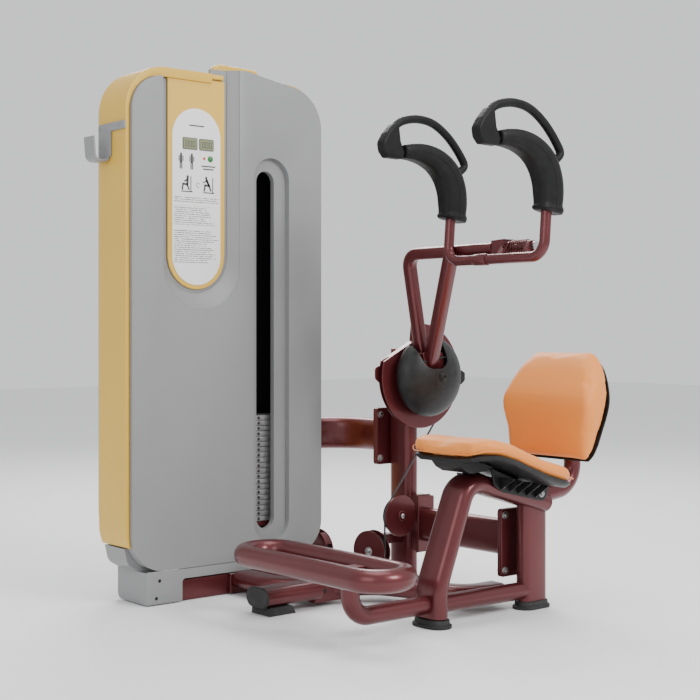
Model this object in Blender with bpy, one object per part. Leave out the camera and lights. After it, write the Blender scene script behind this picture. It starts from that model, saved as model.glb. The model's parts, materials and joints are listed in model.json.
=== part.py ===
"""Abdominal crunch machine: shrouded weight tower, swinging arm with arm pads,
seat and back rest on a floor frame, foot bar.  Metres, +Z up.
+X runs from the tower's outer side towards the back rest (the user faces -X),
+Y runs from the seat towards the tower.  The floor is z = 0."""
import math

import bmesh
import bpy
from mathutils import Matrix, Vector

# ---------------------------------------------------------------- sizes
ORIGIN_X = 0.5326         # footprint centre, measured from the tower's outer side
ORIGIN_Y = -0.351        # footprint centre, measured from the tower's front face

TOWER_W = 0.708           # front shroud width
TOWER_TOP = 1.590         # top of the front shroud
TOWER_BOTTOM = 0.098      # lower edge of the front shroud
SHROUD_T = 0.036          # depth of the front shroud
SHELL_Y1 = 0.166          # rear edge of the moulded side shell
SHELL_T = 0.006
SHELL_TOP = TOWER_TOP - 0.020
SHELL_RIGHT = 0.738
REAR_Y1 = 0.225           # back face of the tower

OVAL_W = 0.100            # flat-oval frame tube, long way
OVAL_T = 0.052            # flat-oval frame tube, short way
ROUND_D = 0.050           # round frame tube
HANDLE_D = 0.030          # round tube of the handle yoke

USER_Y = -0.710           # plane of symmetry of seat, back rest and handles
SEAT_W = 0.340
SEAT_X0 = 0.545
SEAT_X1 = 0.938
SEAT_T = 0.040
BACK_W = 0.345

POST_X = 0.905            # main post
POST_Y = -0.175
POST_TOP = 0.745
PIVOT_X = 0.906           # arm pivot axis, runs along Y
PIVOT_Z = 0.656
CAM_R = 0.164
CAM_GROOVE_R = 0.142
COVER_R = 0.127
CABLE_Y = -0.245          # plane of the cable on the cam
CABLE_D = 0.006

SHEAVE_R = 0.054          # outer radius of every sheave
GROOVE_R = 0.049          # bottom of the cable groove
GUARD_R = 0.064
RUN_R = GROOVE_R + CABLE_D / 2.0 + 0.001     # cable centre line round a sheave
DROP_X = 0.762            # cable's vertical run beside the main post
LOW_X = 0.722             # floor pulley at the tower
LOW_Y = 0.045
LOW_Z = 0.095
TURN = math.atan2(DROP_X - LOW_X, LOW_Y - CABLE_Y)   # heading of the floor run
MID_X = DROP_X - RUN_R * math.sin(TURN)
MID_Y = CABLE_Y + RUN_R * math.cos(TURN)
MID_Z = 0.114
POSTP_X = DROP_X + RUN_R
POSTP_Z = 0.225

HANDLE_GAP = 0.372        # between the two arm pads
YOKE_X = 0.764
YOKE_Z = 1.000
YOKE_AXIS_X = 0.806
YOKE_AXIS_Z = 1.034

FOOT_X = 0.225            # foot bar loop
FOOT_Y0 = -0.925
FOOT_Y1 = -0.278
FOOT_Z = 0.184
FOOT_D = 0.060
FOOT_LOOP = 0.142

STACK_X = 0.500
RISE_X = LOW_X - RUN_R * math.sin(TURN)
STACK_Y = LOW_Y + RUN_R * math.cos(TURN)
PLATE_W = 0.290
PLATE_D = 0.088
PLATE_PITCH = 0.0166
PLATES = 20
GROOVE = 0.004            # depth of the joint lines between plates
STACK_Z0 = 0.202
ROD_GAP = 0.190
ROD_D = 0.022

TOP_Z = TOWER_TOP - 0.140             # axis height of the two top pulleys
TOP_STACK_X = STACK_X + RUN_R
TOP_SIDE_X = RISE_X - RUN_R

CLEAR = 0.0003            # gap between touching pieces

COLLECTION = "ab_crunch_machine"
CUTTERS = "cutters"


# ---------------------------------------------------------------- set-up
def clear_scene():
    for obj in list(bpy.data.objects):
        bpy.data.objects.remove(obj, do_unlink=True)


def collection(name, hidden=False):
    col = bpy.data.collections.new(name)
    bpy.context.scene.collection.children.link(col)
    if hidden:
        col.hide_render = True
    return col


def material(name, colour, metallic, roughness):
    mat = bpy.data.materials.new(name)
    mat.use_nodes = True
    bsdf = mat.node_tree.nodes["Principled BSDF"]
    bsdf.inputs["Base Color"].default_value = (colour[0], colour[1], colour[2], 1.0)
    bsdf.inputs["Metallic"].default_value = metallic
    bsdf.inputs["Roughness"].default_value = roughness
    return mat


clear_scene()
PARTS = collection(COLLECTION)
CUTS = collection(CUTTERS, True)
RED = material("maroon_paint", (0.20, 0.045, 0.05), 0.4, 0.35)
GREY = material("grey_shroud", (0.36, 0.36, 0.36), 0.0, 0.45)
GOLD = material("gold_shell", (0.55, 0.38, 0.13), 0.1, 0.4)
BLACK = material("black_plastic", (0.02, 0.02, 0.021), 0.0, 0.5)
RUBBER = material("black_rubber", (0.015, 0.015, 0.015), 0.0, 0.8)
PAD = material("orange_upholstery", (0.85, 0.42, 0.17), 0.0, 0.6)
STEEL = material("bright_steel", (0.6, 0.6, 0.6), 1.0, 0.25)
IRON = material("stack_plate", (0.08, 0.08, 0.085), 0.6, 0.5)
WHITE = material("white_label", (0.85, 0.85, 0.85), 0.0, 0.4)
GREEN = material("green_button", (0.02, 0.25, 0.03), 0.0, 0.3)
LCD = material("display_glass", (0.25, 0.27, 0.14), 0.0, 0.2)


def tidy(bm):
    bmesh.ops.remove_doubles(bm, verts=bm.verts, dist=0.00002)
    bmesh.ops.recalc_face_normals(bm, faces=bm.faces)


def make(name, bm, mat, cutter=False):
    tidy(bm)
    mesh = bpy.data.meshes.new(name)
    bm.to_mesh(mesh)
    bm.free()
    obj = bpy.data.objects.new(name, mesh)
    if mat is not None:
        mesh.materials.append(mat)
    if cutter:
        CUTS.objects.link(obj)
        obj.hide_render = True
        obj.display_type = "WIRE"
    else:
        PARTS.objects.link(obj)
    return obj


def boolean(obj, tool, operation):
    mod = obj.modifiers.new("cut", "BOOLEAN")
    mod.object = tool
    mod.operation = operation
    mod.solver = "EXACT"
    deps = bpy.context.evaluated_depsgraph_get()
    mesh = bpy.data.meshes.new_from_object(obj.evaluated_get(deps))
    obj.modifiers.clear()
    old = obj.data
    obj.data = mesh
    bpy.data.meshes.remove(old)
    bm = bmesh.new()
    bm.from_mesh(obj.data)
    bmesh.ops.remove_doubles(bm, verts=bm.verts, dist=0.00002)
    bmesh.ops.dissolve_degenerate(bm, edges=bm.edges, dist=0.00002)
    flat = [e for e in bm.edges if len(e.link_faces) == 2
            and e.link_faces[0].normal.dot(e.link_faces[1].normal) > 0.999999]
    bmesh.ops.dissolve_edges(bm, edges=flat, use_verts=True, use_face_split=False)
    bm.to_mesh(obj.data)
    bm.free()
    bpy.data.objects.remove(tool, do_unlink=True)
    return obj


def cut(obj, tool):
    return boolean(obj, tool, "DIFFERENCE")


def join(obj, tool):
    return boolean(obj, tool, "UNION")


# ---------------------------------------------------------------- outlines
def circle(radius, n):
    return [(radius * math.cos(2 * math.pi * i / n),
             radius * math.sin(2 * math.pi * i / n)) for i in range(n)]


def flat_oval(width, thick, n=6):
    r = thick / 2.0
    h = width / 2.0 - r
    pts = []
    for i in range(n + 1):
        a = -math.pi / 2 + math.pi * i / n
        pts.append((h + r * math.cos(a), r * math.sin(a)))
    for i in range(n + 1):
        a = math.pi / 2 + math.pi * i / n
        pts.append((-h + r * math.cos(a), r * math.sin(a)))
    return pts


def round_corners(corners, n=6, closed=True):
    """corners: list of (x, y, radius); gives the outline with arcs of n steps."""
    out = []
    count = len(corners)
    for i in range(count):
        p = Vector(corners[i][:-1])
        r = corners[i][-1]
        end = not closed and i in (0, count - 1)
        if r <= 0.0 or end:
            out.append(p)
            continue
        a = (Vector(corners[i - 1][:-1]) - p).normalized()
        b = (Vector(corners[(i + 1) % count][:-1]) - p).normalized()
        ang = a.angle(b)
        if ang > math.pi - 0.01:
            out.append(p)
            continue
        d = r / math.tan(ang / 2.0)
        mid = (a + b).normalized()
        c = p + mid * (r / math.sin(ang / 2.0))
        u = (p + a * d) - c
        v = (p + b * d) - c
        turn = u.angle(v)
        for k in range(n + 1):
            t = k / n
            w = (u * math.sin((1 - t) * turn) + v * math.sin(t * turn)) / math.sin(turn)
            out.append(c + w)
    return [tuple(q) for q in out]


def offset(pts, d):
    """Outline moved outwards by d."""
    n = len(pts)
    area = sum(pts[i - 1][0] * pts[i][1] - pts[i][0] * pts[i - 1][1] for i in range(n))
    sign = 1.0 if area > 0 else -1.0
    out = []
    for i in range(n):
        p = Vector(pts[i])
        a = (p - Vector(pts[i - 1])).normalized()
        b = (Vector(pts[(i + 1) % n]) - p).normalized()
        na = Vector((a.y, -a.x)) * sign
        nb = Vector((b.y, -b.x)) * sign
        m = (na + nb).normalized()
        out.append(tuple(p + m * (d / max(0.35, m.dot(na)))))
    return out


# ---------------------------------------------------------------- solids
def basis(point, along):
    """Placing matrix whose Z is the given direction."""
    t = Vector(along).normalized()
    side = Vector((0, 0, 1)) if abs(t.z) < 0.9 else Vector((1, 0, 0))
    u = t.cross(side).normalized()
    place = Matrix((u, t.cross(u), t)).transposed().to_4x4()
    place.translation = point
    return place


def swept(outline, places, closed=False):
    """Extrude a ring through placing matrices; fill its ends, or bridge them."""
    bm = bmesh.new()
    ring = [bm.verts.new(places[0] @ Vector((a, b, 0.0))) for a, b in outline]
    edges = [bm.edges.new((ring[i - 1], ring[i])) for i in range(len(ring))]
    first = edges
    for before, after in zip(places, places[1:]):
        made = bmesh.ops.extrude_edge_only(bm, edges=edges)["geom"]
        ring = {g for g in made if isinstance(g, bmesh.types.BMVert)}
        edges = [e for e in {e for v in ring for e in v.link_edges}
                 if e.verts[0] in ring and e.verts[1] in ring]
        bmesh.ops.transform(bm, matrix=after @ before.inverted(), verts=list(ring))
    if closed:
        bmesh.ops.bridge_loops(bm, edges=first + edges)
    else:
        bmesh.ops.edgeloop_fill(bm, edges=first)
        bmesh.ops.edgeloop_fill(bm, edges=edges)
    return bm


def loft(rings):
    """Skin over unlike sections with the same number of points, with end caps."""
    bm = bmesh.new()
    vs = [[bm.verts.new(p) for p in ring] for ring in rings]
    n = len(rings[0])
    for a, b in zip(vs, vs[1:]):
        for k in range(n):
            m = (k + 1) % n
            bm.faces.new((a[k], a[m], b[m], b[k]))
    bm.faces.new(vs[0])
    bm.faces.new(vs[-1])
    return bm


def prism(name, points, reach, mat, cutter):
    """Plate: the face inside an outline, extruded by the reach."""
    bm = bmesh.new()
    face = bm.faces.new([bm.verts.new(p) for p in points])
    made = bmesh.ops.extrude_face_region(bm, geom=[face])["geom"]
    top = [g for g in made if isinstance(g, bmesh.types.BMVert)]
    bmesh.ops.translate(bm, verts=top, vec=reach)
    return make(name, bm, mat, cutter)


def prism_y(name, pts, y0, y1, mat, cutter=False):
    return prism(name, [(x, y0, z) for x, z in pts], (0, y1 - y0, 0), mat, cutter)


def prism_x(name, pts, x0, x1, mat, cutter=False):
    return prism(name, [(x0, y, z) for y, z in pts], (x1 - x0, 0, 0), mat, cutter)


def prism_z(name, pts, z0, z1, mat, cutter=False):
    return prism(name, [(x, y, z0) for x, y in pts], (0, 0, z1 - z0), mat, cutter)


def box(name, x0, x1, y0, y1, z0, z1, mat, cutter=False):
    size = Matrix.Diagonal((x1 - x0, y1 - y0, z1 - z0, 1.0))
    middle = Matrix.Translation(((x0 + x1) / 2, (y0 + y1) / 2, (z0 + z1) / 2))
    bm = bmesh.new()
    bmesh.ops.create_cube(bm, size=1.0, matrix=middle @ size)
    return make(name, bm, mat, cutter)


def rod(name, p0, p1, radius, n, mat, cutter=False):
    a = Vector(p0)
    b = Vector(p1)
    place = basis((a + b) / 2, b - a) @ Matrix.Rotation(-math.pi / 2, 4, "Z")
    bm = bmesh.new()
    bmesh.ops.create_cone(bm, cap_ends=True, segments=n, radius1=radius, radius2=radius,
                          depth=(b - a).length, matrix=place)
    return make(name, bm, mat, cutter)


def sweep(name, path, outline, normal, mat, cutter=False, swap=False, closed=False):
    """Sweep an outline along a flat path; the outline's first axis lies on the
    path plane's normal, the second across the path (swap changes them over)."""
    nrm = Vector(normal).normalized()
    pts = [Vector(p) for p in path]
    count = len(pts)
    places = []
    for i, p in enumerate(pts):
        away = pts[(i + 1) % count] - p if closed or i < count - 1 else p - pts[i - 1]
        into = p - pts[i - 1] if closed or i > 0 else away
        away = away.normalized()
        t = (into.normalized() + away).normalized()
        across = t.cross(nrm).normalized() / max(0.5, t.dot(away))
        place = Matrix((nrm, across, t)).transposed().to_4x4()
        place.translation = p
        places.append(place)
    if swap:
        outline = [(b, a) for a, b in outline]
    return make(name, swept(outline, places, closed), mat, cutter)


def sweep_free(name, path, radius, n, mat, cutter=False):
    """Round wire along any path, with a frame that does not twist."""
    pts = [Vector(p) for p in path]
    last = len(pts) - 1
    u = basis(pts[0], pts[1] - pts[0]).col[0].xyz
    places = []
    for i, p in enumerate(pts):
        t = (pts[min(i + 1, last)] - pts[max(i - 1, 0)]).normalized()
        u = (u - t * u.dot(t)).normalized()
        place = Matrix((u, t.cross(u), t)).transposed().to_4x4()
        place.translation = p
        places.append(place)
    return make(name, swept(circle(radius, n), places), mat, cutter)


def turned(name, centre, axis, profile, n, mat, cutter=False):
    """Spin a (radius, offset) profile about an axis.  A profile that starts on the
    axis also ends there; any other one is closed first."""
    place = basis(Vector(centre), axis)
    bm = bmesh.new()
    verts = [bm.verts.new(place @ Vector((r, 0.0, h))) for r, h in profile]
    edges = [bm.edges.new(pair) for pair in zip(verts, verts[1:])]
    if profile[0][0] > 0.0:
        edges.append(bm.edges.new((verts[-1], verts[0])))
    bmesh.ops.spin(bm, geom=verts + edges, cent=centre, axis=axis, angle=2 * math.pi,
                   steps=n, use_merge=True)
    return make(name, bm, mat, cutter)


def arc(cx, cz, r, a0, a1, n):
    """Points of an arc in degrees, as (first, second) pairs."""
    return [(cx + r * math.cos(math.radians(a0 + (a1 - a0) * i / n)),
             cz + r * math.sin(math.radians(a0 + (a1 - a0) * i / n)))
            for i in range(n + 1)]


# ---------------------------------------------------------------- tower
def shroud_outline():
    inset = 0.004
    w = TOWER_W
    b = TOWER_BOTTOM
    pts = [(inset, b, 0.112), (w, b, 0.100), (w, TOWER_TOP - 0.045, 0.125),
           (0.520, TOWER_TOP - 0.018, 0.20), (0.420, TOWER_TOP, 0.06),
           (0.300, TOWER_TOP - 0.004, 0.0), (0.300, TOWER_TOP - 0.037, 0.0),
           (inset, TOWER_TOP - 0.037, 0.115)]
    return round_corners(pts, 6)


def front_shroud():
    obj = prism_y("front_shroud", shroud_outline(), 0.0, SHROUD_T, GREY)
    above = TOWER_TOP + 0.110
    channel = [(0.125, above, 0.0), (0.125, 0.905, 0.118), (0.365, 0.905, 0.118),
               (0.365, above, 0.0)]
    cut(obj, prism_y("tool", round_corners(channel, 7), -0.02, 0.026, None, True))
    recess = [(0.440, 1.336, 0.070), (0.440, 0.140, 0.070), (0.582, 0.140, 0.070),
              (0.582, 1.336, 0.070)]
    cut(obj, prism_y("tool", round_corners(recess, 6), -0.02, 0.018, None, True))
    slot = [(0.467, 1.292, 0.0315), (0.467, 0.184, 0.0315), (0.531, 0.184, 0.0315),
            (0.531, 1.292, 0.0315)]
    cut(obj, prism_y("tool", round_corners(slot, 5), -0.02, 0.06, None, True))
    # hood of the right half, reaching back over the shell
    hood = [(0.370, TOWER_TOP - 0.002), (0.420, TOWER_TOP - 0.001), (0.520, TOWER_TOP - 0.0045),
            (0.585, TOWER_TOP - 0.017), (0.585, TOWER_TOP - 0.0188), (0.370, TOWER_TOP - 0.0188)]
    join(obj, prism_y("tool", hood, SHROUD_T - 0.004, 0.130, None, True))
    return obj


def tower_shell():
    def band(x0, x1, y0, y1, inner):
        d = SHELL_T if inner else 0.0
        r = 0.132 - d
        pts = [(x0 + d, 0.095 + d, r), (x1 - d, 0.095 + d, r),
               (x1 - d, SHELL_TOP - d, r), (x0 + d, SHELL_TOP - d, r)]
        return prism_y("tool" if inner else "tower_shell", round_corners(pts, 8), y0, y1,
                       GOLD, inner)
    obj = band(0.0, SHELL_RIGHT, 0.075, SHELL_Y1, False)
    front = band(0.0, 0.712, 0.013, 0.0751, False)
    join(obj, front)
    cut(obj, band(0.0, SHELL_RIGHT, 0.0811, 0.30, True))
    cut(obj, band(0.0, 0.712, 0.0, 0.0812, True))
    # the front flange keeps clear of the shroud
    grown = offset(shroud_outline(), 0.0008)
    cut(obj, prism_y("tool", grown, -0.01, SHROUD_T + 0.0008, None, True))
    cut(obj, box("tool", -0.1, 1.0, -0.1, 0.4, 0.0, 0.172, None, True))
    # band over the top of the label strip
    strip = [(0.146, TOWER_TOP - 0.0355), (0.298, TOWER_TOP - 0.0355), (0.298, SHELL_TOP),
             (0.146, SHELL_TOP)]
    join(obj, prism_y("tool", strip, 0.0150, 0.0800, None, True))
    # the link tube passes the right wall
    cut(obj, box("tool", 0.70, 0.80, 0.1065, 0.30, 0.400, 0.520, None, True))
    # raised cap over the top pulleys
    cap = round_corners([(0.385, TOWER_TOP - 0.024, 0.0), (0.560, TOWER_TOP - 0.024, 0.0),
                         (0.560, TOWER_TOP + 0.039, 0.018),
                         (0.385, TOWER_TOP + 0.043, 0.03)], 4)
    join(obj, prism_y("tool", cap, 0.134, SHELL_Y1, None, True))
    return obj


def rear_shroud():
    outer = round_corners([(0.006, 0.150, 0.11), (0.746, 0.150, 0.11), (0.746, TOWER_TOP - 0.030, 0.12),
                           (0.006, TOWER_TOP - 0.030, 0.12)], 6)
    small = round_corners([(0.042, 0.180, 0.10), (0.710, 0.180, 0.10), (0.710, TOWER_TOP - 0.060, 0.11),
                           (0.042, TOWER_TOP - 0.060, 0.11)], 6)
    y0 = SHELL_Y1 + CLEAR
    rings = [[(x, y0, z) for x, z in outer], [(x, y0 + 0.006, z) for x, z in outer],
             [(x, REAR_Y1, z) for x, z in small]]
    obj = make("rear_shroud", loft(rings), GREY)
    inner = round_corners([(0.050, 0.190, 0.095), (0.702, 0.190, 0.095),
                           (0.702, TOWER_TOP - 0.070, 0.10),
                           (0.050, TOWER_TOP - 0.070, 0.10)], 6)
    cut(obj, prism_y("tool", inner, 0.10, REAR_Y1 - 0.006, None, True))
    return obj


def label_strip():
    top = TOWER_TOP - 0.038
    pts = round_corners([(0.143, top, 0.004), (0.143, 0.921, 0.100), (0.346, 0.921, 0.100),
                         (0.346, top, 0.004)], 7)
    obj = prism_y("label_strip", pts, 0.0205, 0.026 - CLEAR, GOLD)
    cut(obj, rod("tool", (0.294, -0.1, 1.313), (0.294, 0.1, 1.313), 0.0095, 16, None, True))
    return obj


def instruction_plate():
    pts = round_corners([(0.160, 1.460, 0.0850), (0.160, 0.934, 0.0850),
                         (0.331, 0.934, 0.0850), (0.331, 1.460, 0.0850)], 8)
    obj = prism_y("instruction_plate", pts, 0.0185, 0.0205 - CLEAR, WHITE)
    cut(obj, rod("tool", (0.294, -0.1, 1.313), (0.294, 0.1, 1.313), 0.0095, 16, None, True))
    return obj


def display_unit():
    pts = round_corners([(0.196, 1.336, 0.004), (0.306, 1.336, 0.004), (0.306, 1.372, 0.004),
                         (0.196, 1.372, 0.004)], 3)
    obj = prism_y("display_unit", pts, 0.0150, 0.0185 - CLEAR, LCD)
    cut(obj, box("tool", 0.2478, 0.2542, 0.0, 0.0165, 1.30, 1.40, None, True))
    return obj


def reset_button():
    c = (0.294, 0.0, 1.313)
    prof = [(0.0, 0.0125), (0.005, 0.0127), (0.0080, 0.0138), (0.0088, 0.0155),
            (0.0088, 0.0228), (0.0, 0.0228)]
    return turned("reset_button", c, (0, 1, 0), prof, 16, GREEN)


def towel_hook():
    y0 = 0.012
    y1 = 0.162
    obj = box("towel_hook", -0.0063, -CLEAR, y0, y1, 1.378, 1.402, GREY)
    join(obj, box("tool", -0.0063, -CLEAR, 0.090, y1, 1.300, 1.390, None, True))
    path = [(-0.0033, 1.312), (-0.004, 1.302), (-0.012, 1.294), (-0.028, 1.293),
            (-0.042, 1.299), (-0.049, 1.312), (-0.052, 1.345), (-0.056, 1.360)]
    pts = [Vector((x, 0.128, z)) for x, z in path]
    outline = [(-0.030, -0.003), (0.030, -0.003), (0.030, 0.003), (-0.030, 0.003)]
    join(obj, sweep("tool", pts, outline, (0, 1, 0), None, True))
    join(obj, box("tool", -0.014, -0.001, 0.140, 0.1705, 1.381, 1.397, None, True))
    return obj


def base_beam():
    obj = box("base_beam", 0.074, 0.690, 0.010, 0.150, 0.0, 0.064, RED)
    block = box("tool", 0.352, 0.448, -0.004, 0.020, 0.004, 0.062, None, True)
    join(obj, block)
    cut(obj, rod("tool", (0.366, -0.05, 0.033), (0.366, 0.003, 0.033), 0.0045, 10, None, True))
    cut(obj, box("tool", 0.330, 0.3515, 0.0, 0.016, -0.1, 0.1, None, True))
    return obj


def base_skirt():
    # hollow outer box, open below, behind and to the right
    obj = box("base_skirt", 0.062, 0.700, 0.0, 0.165, 0.002, 0.0968, GREY)
    cut(obj, box("tool", 0.067, 0.80, 0.005, 0.30, -0.1, 0.0918, None, True))
    front = round_corners([(0.184, -0.1, 0.0), (0.184, 0.068, 0.008), (0.80, 0.068, 0.0),
                           (0.80, -0.1, 0.0)], 4)
    cut(obj, prism_y("tool", front, -0.1, 0.006, None, True))
    # rounded corner body that shows below the shell
    corner = round_corners([(0.008, 0.2000, 0.0), (0.008, 0.0960, 0.100),
                            (0.200, 0.0960, 0.0), (0.200, 0.171, 0.0), (0.060, 0.171, 0.0),
                            (0.060, 0.200, 0.0)], 7)
    join(obj, prism_y("tool", corner, SHROUD_T + CLEAR, 0.150, None, True))
    # clears the shell's walls and the frame's upright
    cut(obj, box("tool", -0.1, 0.0555, 0.0, 0.2, 0.1715, 0.3, None, True))
    for x, z in ((0.106, 0.070), (0.095, 0.020)):
        cut(obj, rod("tool", (x, -0.05, z), (x, 0.003, z), 0.0055, 10, None, True))
    # passages for the frame's uprights
    cut(obj, box("tool", 0.150, 0.80, 0.030, 0.30, 0.05, 0.30, None, True))
    return obj


def stack_frame():
    y0 = STACK_Y + 0.0135
    y1 = STACK_Y + 0.044
    obj = box("stack_frame", 0.262, 0.294, y0, y1, 0.0643, TOP_Z + 0.018, RED)
    join(obj, box("tool", 0.650, 0.682, y0, y1, 0.0643, TOP_Z + 0.018, None, True))
    join(obj, box("tool", 0.262, 0.682, y0, y1, TOP_Z - 0.018, TOP_Z + 0.018, None, True))
    join(obj, box("tool", 0.262, 0.682, y0, y1, 0.0643, 0.084, None, True))
    # shelves that carry the guide rods
    join(obj, box("tool", 0.270, 0.674, STACK_Y - 0.042, y1 - 0.002, 0.188, STACK_Z0 - CLEAR, None,
                  True))
    join(obj, box("tool", 0.270, 0.674, STACK_Y - 0.016, y1 - 0.002, TOP_Z - 0.080,
                  TOP_Z - 0.068, None, True))
    for dx in (-ROD_GAP / 2, ROD_GAP / 2):
        x = STACK_X + dx
        cut(obj, rod("tool", (x, STACK_Y, TOP_Z - 0.150), (x, STACK_Y, TOP_Z - 0.020),
                     ROD_D / 2 + CLEAR, 12, None, True))
    # the pull cable passes the upper shelf
    cut(obj, rod("tool", (STACK_X, STACK_Y, TOP_Z - 0.150), (STACK_X, STACK_Y, TOP_Z - 0.020),
                 0.012, 12, None, True))
    for px in (TOP_STACK_X, TOP_SIDE_X):
        cut(obj, rod("tool", (px, 0.0, TOP_Z), (px, 0.3, TOP_Z), 0.0065, 12, None, True))
    return obj


def guide_rod(name, dx):
    x = STACK_X + dx
    return rod(name, (x, STACK_Y, STACK_Z0), (x, STACK_Y, TOP_Z - 0.0685), ROD_D / 2, 12,
               STEEL)


def plate_block(name, z0, count, mat):
    """Stacked plates as one block, with a groove at every joint between two plates."""
    narrow = (1.0 - 2 * GROOVE / PLATE_W, 1.0 - 2 * GROOVE / PLATE_D)
    levels = [(z0 + CLEAR / 2, (1.0, 1.0))]
    for i in range(1, count):
        z = z0 + i * PLATE_PITCH
        levels += [(z - 0.0010, (1.0, 1.0)), (z - 0.0009, narrow), (z + 0.0009, narrow),
                   (z + 0.0010, (1.0, 1.0))]
    levels.append((z0 + count * PLATE_PITCH - CLEAR / 2, (1.0, 1.0)))
    places = [Matrix.Translation((STACK_X, STACK_Y, z)) @ Matrix.Diagonal((kx, ky, 1.0, 1.0))
              for z, (kx, ky) in levels]
    w = PLATE_W / 2
    d = PLATE_D / 2
    obj = make(name, swept([(-w, -d), (w, -d), (w, d), (-w, d)], places), mat)
    for dx in (-ROD_GAP / 2, ROD_GAP / 2):
        x = STACK_X + dx
        cut(obj, rod("tool", (x, STACK_Y, 0.1), (x, STACK_Y, 0.8), ROD_D / 2 + 0.0012, 12,
                     None, True))
    return obj


def weight_plates():
    obj = plate_block("weight_plates", STACK_Z0, PLATES - 1, IRON)
    cut(obj, rod("tool", (STACK_X, STACK_Y, 0.1), (STACK_X, STACK_Y, 0.8), 0.0125, 12, None,
                 True))
    return obj


def top_plate():
    z0 = STACK_Z0 + (PLATES - 1) * PLATE_PITCH
    obj = plate_block("top_plate", z0, 1, IRON)
    cut(obj, rod("tool", (STACK_X, STACK_Y, 0.1), (STACK_X, STACK_Y, 0.8), 0.0105, 12, None,
                 True))
    return obj


def selector_rod():
    top = STACK_Z0 + PLATES * PLATE_PITCH
    prof = [(0.0, STACK_Z0 + 0.006), (0.010, STACK_Z0 + 0.006), (0.010, top + CLEAR),
            (0.017, top + CLEAR), (0.017, top + 0.012), (0.0095, top + 0.020),
            (0.0095, top + 0.044), (0.0, top + 0.044)]
    obj = turned("selector_rod", (STACK_X, STACK_Y, 0.0), (0, 0, 1), prof, 12, STEEL)
    for i in (2, 6, 10, 14):
        z = STACK_Z0 + (i + 0.5) * PLATE_PITCH
        cut(obj, rod("tool", (STACK_X, 0.0, z), (STACK_X, 0.3, z), 0.0045, 8, None, True))
    return obj


# ---------------------------------------------------------------- pulleys
def sheave(name, centre, axis):
    g = GROOVE_R
    r = SHEAVE_R
    prof = [(0.0068, -0.0095), (0.017, -0.0095), (0.019, -0.0075), (0.040, -0.0075),
            (0.042, -0.0090), (r, -0.0090), (r, -0.0076), (g, -0.0046), (g, 0.0046),
            (r, 0.0076), (r, 0.0090), (0.042, 0.0090), (0.040, 0.0075), (0.019, 0.0075),
            (0.017, 0.0095), (0.0068, 0.0095)]
    return turned(name, centre, axis, prof, 24, BLACK)


def axle(name, centre, axis, h0, h1):
    prof = [(0.0, h0 - 0.006), (0.0095, h0 - 0.006), (0.0105, h0 - 0.004), (0.0105, h0),
            (0.0062, h0), (0.0062, h1), (0.0, h1)]
    return turned(name, centre, axis, prof, 12, STEEL)


def ring_disc(name, centre, axis, radius, h0, h1, cutter=False, n=28, bore=0.0066):
    prof = [(bore, h0), (radius, h0), (radius, h1), (bore, h1)]
    return turned(name, centre, axis, prof, n, RED, cutter)


def turn_to(obj, centre):
    """Carry a piece built round the origin to a floor pulley's place."""
    obj.data.transform(Matrix.Translation(Vector(centre)) @ Matrix.Rotation(TURN, 4, "Z"))
    return obj


def guard_cheeks(name, a0, a1):
    o = (0.0, 0.0, 0.0)
    obj = ring_disc(name, o, (1, 0, 0), GUARD_R, -0.0150, -0.0115)
    join(obj, ring_disc("tool", o, (1, 0, 0), GUARD_R, 0.0115, 0.0150, True))
    web = arc(0.0, 0.0, 0.0572, a0, a1, 4) + arc(0.0, 0.0, 0.0630, a1, a0, 4)
    join(obj, prism_x("tool", web, -0.0125, 0.0125, None, True))
    return obj


def mid_pulley_guard():
    obj = turn_to(guard_cheeks("mid_pulley_guard", 20, 62), (MID_X, MID_Y, MID_Z))
    # arm of the guard, held on the post
    join(obj, box("tool", MID_X + 0.0140, POST_X - OVAL_T / 2 - CLEAR, MID_Y - 0.006,
                  MID_Y + 0.030, MID_Z + 0.016, MID_Z + 0.046, None, True))
    return obj


def low_pulley_guard():
    obj = turn_to(guard_cheeks("low_pulley_guard", 118, 160), (LOW_X, LOW_Y, LOW_Z))
    pad = [(LOW_Y, 0.040), (LOW_Y + 0.030, 0.040), (LOW_Y + 0.030, 0.060), (LOW_Y, 0.060)]
    join(obj, prism_x("tool", pad, 0.690 + CLEAR, LOW_X - 0.0165, None, True))
    return obj


def post_pulley_guard():
    """Front cheek of the post pulley, one plate with the post's beam flange."""
    y0 = CABLE_Y - 0.0180
    y1 = CABLE_Y - 0.0120
    cx = POSTP_X
    cz = POSTP_Z
    left = POST_X - 0.025
    right = POST_X + 0.034
    pts = arc(cx, cz, GUARD_R, 68, 292, 18)
    pts += [(left, 0.104), (right, 0.104), (right, 0.284), (left, 0.284)]
    obj = prism_y("post_pulley_guard", pts, y0, y1, RED)
    # packing block between the plate and the post
    join(obj, box("tool", POST_X - 0.014, right - 0.002, y1 - 0.001,
                  POST_Y - OVAL_W / 2 - CLEAR, 0.106, 0.282, None, True))
    for z in (0.124, 0.264):
        cut(obj, rod("tool", (POST_X + 0.010, y0 - 0.1, z), (POST_X + 0.010, y0 + 0.003, z),
                     0.0048, 10, None, True))
    cut(obj, rod("tool", (cx, y0 - 0.1, cz), (cx, y1 + 0.1, cz), 0.0066, 12, None, True))
    return obj


# ---------------------------------------------------------------- cable
def arc3(centre, a_vec, b_vec, r, a0, a1, n):
    c = Vector(centre)
    a = Vector(a_vec)
    b = Vector(b_vec)
    out = []
    for i in range(n + 1):
        t = math.radians(a0 + (a1 - a0) * i / n)
        out.append(c + a * (r * math.cos(t)) + b * (r * math.sin(t)))
    return out


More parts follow.
